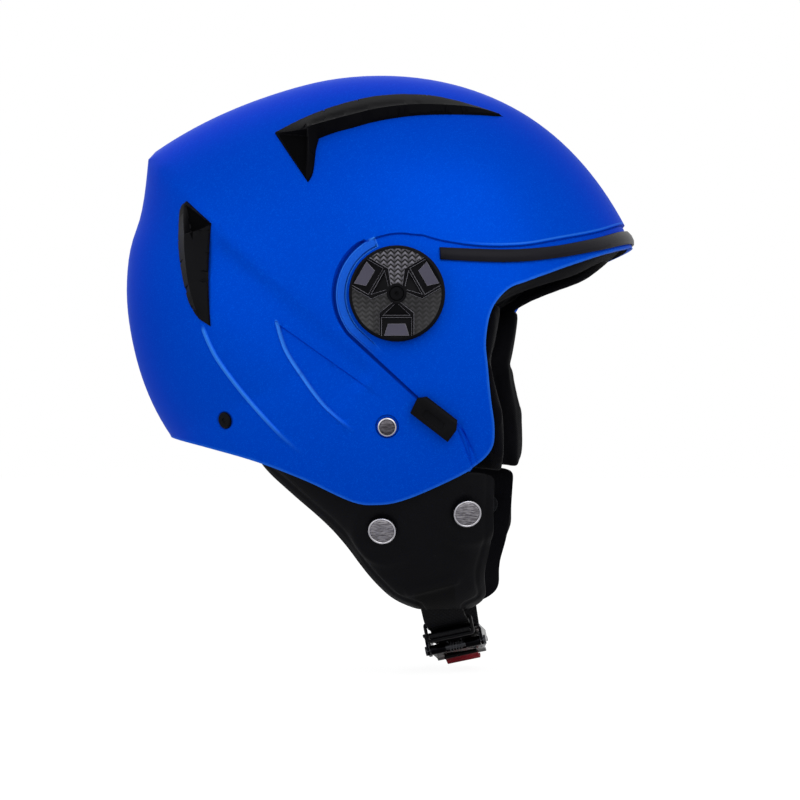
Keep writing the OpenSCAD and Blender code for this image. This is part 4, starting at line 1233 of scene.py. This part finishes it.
def soft_panel(node, name, levels):
    """A thin sewn panel: the node's own outline, rounded by subdivision"""
    piece = copy_of(node, name)
    edit(piece)
    bpy.ops.mesh.tris_convert_to_quads(face_threshold=math.radians(40),
                                       shape_threshold=math.radians(60))
    done()
    subdivide(piece, levels)
    return piece


def sew(piece, line, width, depth):
    """Presses a sewn channel along a side-view line"""
    where = points(piece)
    gap, _ = line_distance(side_view(where), line)
    press = depth * (1 - ramp(gap, 0, width))
    place(piece, where - outward(piece) * press[:, None])


def both_sides(right, name, slot, finish, node):
    """Finishes a right-hand piece and its left-hand twin"""
    for piece, side in ((right, "_right"), (mirrored(right, name + "_left"), "_left")):
        finished(piece, HELMET, slot, finish, node + side, angle=180)


FLAP_REAR = curve([
    (-64, -52), (-58, -63), (-45, -74), (-32, -85), (-21, -95), (-12, -106), (-5, -117),
    (4, -127.5), (11, -134), (22, -138.5),
], 4)
FLAP_FRONT = curve([
    (66, -66), (65.4, -73), (64.8, -84), (63.7, -95), (62.2, -106), (58.9, -116.5),
    (58.4, -123.5), (59.2, -129.5), (57, -134.5), (50, -138.5),
], 4)
SNAPS = np.array([(6.5, -95.5), (51, -86.5)]) * MM
PLEAT = curve([(19.5, -128.3), (30, -126), (43, -122)], 5)
CHEEK_SEAMS = [curve([(56, -14), (58, -30), (60.5, -48), (62, -62)], 6),
               curve([(51, -14), (53, -32), (55, -60)], 6)]


def flap_folds(where):
    """Height of the flap's soft folds: pulled in by its snaps, pleated over the strap's way out"""
    places = side_view(where)
    height = np.zeros(len(places))
    for centre, size in zip(SNAPS, (1.0, 0.8)):
        out = places - centre
        gap = np.hypot(*out.T)
        low = 0.35 + 0.65 * ramp(-out[:, 1], -4 * MM, 9 * MM)
        height -= 0.9 * MM * (1 - ramp(gap, 5 * MM, 11 * MM))
        height += 1.7 * MM * size * low * np.exp(-((gap - 15 * MM) / (3.2 * MM)) ** 2)
    gap, _ = line_distance(places, PLEAT)
    height += 1.8 * MM * np.exp(-(gap / (2.2 * MM)) ** 2)
    drift = np.sin(places[:, 0] * 95 + places[:, 1] * 60) * np.sin(places[:, 1] * 120 + 1.3)
    height += 0.35 * MM * drift
    for line in (FLAP_REAR, FLAP_FRONT):
        gap, _ = line_distance(places, line)
        height -= 0.5 * MM * (1 - ramp(np.abs(gap - 4 * MM), 0.3 * MM, 1.2 * MM))
    return height


def build_pads():
    brow = soft_panel("brow_roll", "brow_pad", 2)
    relax(brow, 4)
    keep_inside(brow)
    finished(brow, HELMET, "lining_fabric", LINING, "brow_roll", angle=180)
    neck = padded("neck_roll", "neck_pad", 3.2 * MM, 0.3 * MM, 1.0 * MM)
    subdivide(neck, 1)
    finished(neck, HELMET, "leatherette", LEATHER, "neck_roll", angle=180)

    cheek = padded("cheek_pad_right", "cheek_cushion_right", 3.6 * MM, 0.4 * MM, 1.4 * MM)
    where = points(cheek)
    lift = ramp(where[:, 2], 0, 15 * MM) * ramp(where[:, 0], 40 * MM, 60 * MM)
    place(cheek, where + lift[:, None] * np.array([2, 0, 9]) * MM)
    subdivide(cheek, 1)
    for line in CHEEK_SEAMS:
        sew(cheek, line, 2.4 * MM, 1.0 * MM)
    both_sides(cheek, "cheek_cushion", "lining_fabric", LINING, "cheek_pad")

    flap = soft_panel("ear_flap_right", "ear_flap_dressed_right", 3)
    where = points(flap)
    facing = np.clip(-outward(flap)[:, 1] * 2, 0, 1)
    place(flap, where + outward(flap) * (flap_folds(where) * facing)[:, None])
    keep_inside(flap)
    both_sides(flap, "ear_flap_dressed", "woven_cover", CLOTH, "ear_flap")
    inner = soft_panel("flap_lining_right", "flap_pad_right", 2)
    both_sides(inner, "flap_pad", "lining_fabric", LINING, "flap_lining")


def build_straps():
    for side, sign in SIDES:
        strap = copy_of("strap_" + side, "chin_strap_" + side)
        bevel(strap, 0.4 * MM)
        where = points(strap)
        # the weave's own directions: across the strap, and round under the chin
        along = np.arctan2(where[:, 1] * sign, -(where[:, 2] + 0.09)) * 0.07
        lay = strap.data.attributes.new("lay", "FLOAT_VECTOR", "POINT")
        lay.data.foreach_set("vector", np.stack([where[:, 0], where[:, 1] * 0, along], 1).ravel())
        body = HELMET if side == "right" else None
        finished(strap, body, "webbing", WEBBING, "strap_" + side, angle=40)
        if side == "left":
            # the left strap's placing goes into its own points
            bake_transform(strap)


def dress_small_parts():
    """Fittings that keep their own shape get their finish"""
    finishes = (
        (STEEL, "snap_studs", "anchor_plates", "pivot_nuts", "lever_pin", "lever_spring"),
        (TRIM, "pivot_screws", "rear_plugs", "pivot_base_right", "pivot_base_left",
         "pivot_hub_right", "pivot_hub_left"),
        (FOAM, "cheek_core_right", "cheek_core_left"),
        (TAPE, "pull_tab"),
    )
    for finish, *nodes in finishes:
        for node in nodes:
            wear(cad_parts[node], finish)


build_fittings()
build_pads()
build_straps()
dress_small_parts()


# ---- Room and light ----

FLOOR_GAP = 0.002


def build_room():
    nothing_selected()
    bpy.ops.mesh.primitive_plane_add(size=12)
    floor = bpy.context.object
    floor.name = "floor"
    where = points(floor)
    where[:, 2] = float(min(cad_box[0][2], cad_box[1][2])) - FLOOR_GAP
    place(floor, where)
    material = bpy.data.materials.new("pale_floor")
    material.use_nodes = True
    tree = material.node_tree
    shader = tree.nodes["Principled BSDF"]
    shader.inputs["Base Color"].default_value = (0.82, 0.82, 0.82, 1)
    shader.inputs["Roughness"].default_value = 0.8
    white = add(tree, "Emission", {"Color": (1, 1, 1, 1), "Strength": 1.15})
    rays = add(tree, "LightPath")
    share = calc(tree, "MULTIPLY", rays.outputs["Is Camera Ray"], 0.8)
    mix = add(tree, "MixShader", {0: share, 1: shader.outputs[0], 2: white.outputs[0]})
    tree.links.new(mix.outputs[0], tree.nodes["Material Output"].inputs["Surface"])
    floor.data.materials.append(material)


def build_world():
    world = bpy.data.worlds.new("studio")
    bpy.context.scene.world = world
    world.use_nodes = True
    tree = world.node_tree
    sky = tree.nodes["Background"]
    rays = add(tree, "LightPath")
    camera, glossy, through = (rays.outputs["Is %s Ray" % kind]
                               for kind in ("Camera", "Glossy", "Transmission"))
    seen = calc(tree, "MAXIMUM", calc(tree, "MAXIMUM", camera, glossy), through)
    tree.links.new(calc(tree, "MULTIPLY_ADD", seen, 0.45, 0.55), sky.inputs["Strength"])
    sky.inputs["Color"].default_value = (1, 1, 1, 1)


def add_lamp(name, place_at, size, power):
    data = bpy.data.lights.new(name, "AREA")
    data.shape = "SQUARE"
    data.size = size
    data.energy = power
    lamp = bpy.data.objects.new(name, data)
    bpy.context.scene.collection.objects.link(lamp)
    lamp.location = place_at
    lamp.rotation_euler = (-Vector(place_at)).to_track_quat("-Z", "Y").to_euler()


bpy.context.scene.view_settings.view_transform = "Standard"
build_room()
build_world()
add_lamp("key", (0.9, -1.7, 1.5), 2.2, 20)
add_lamp("fill", (-1.5, -1.4, 0.5), 2.0, 8)
add_lamp("back", (-0.6, 1.8, 1.4), 2.0, 10)
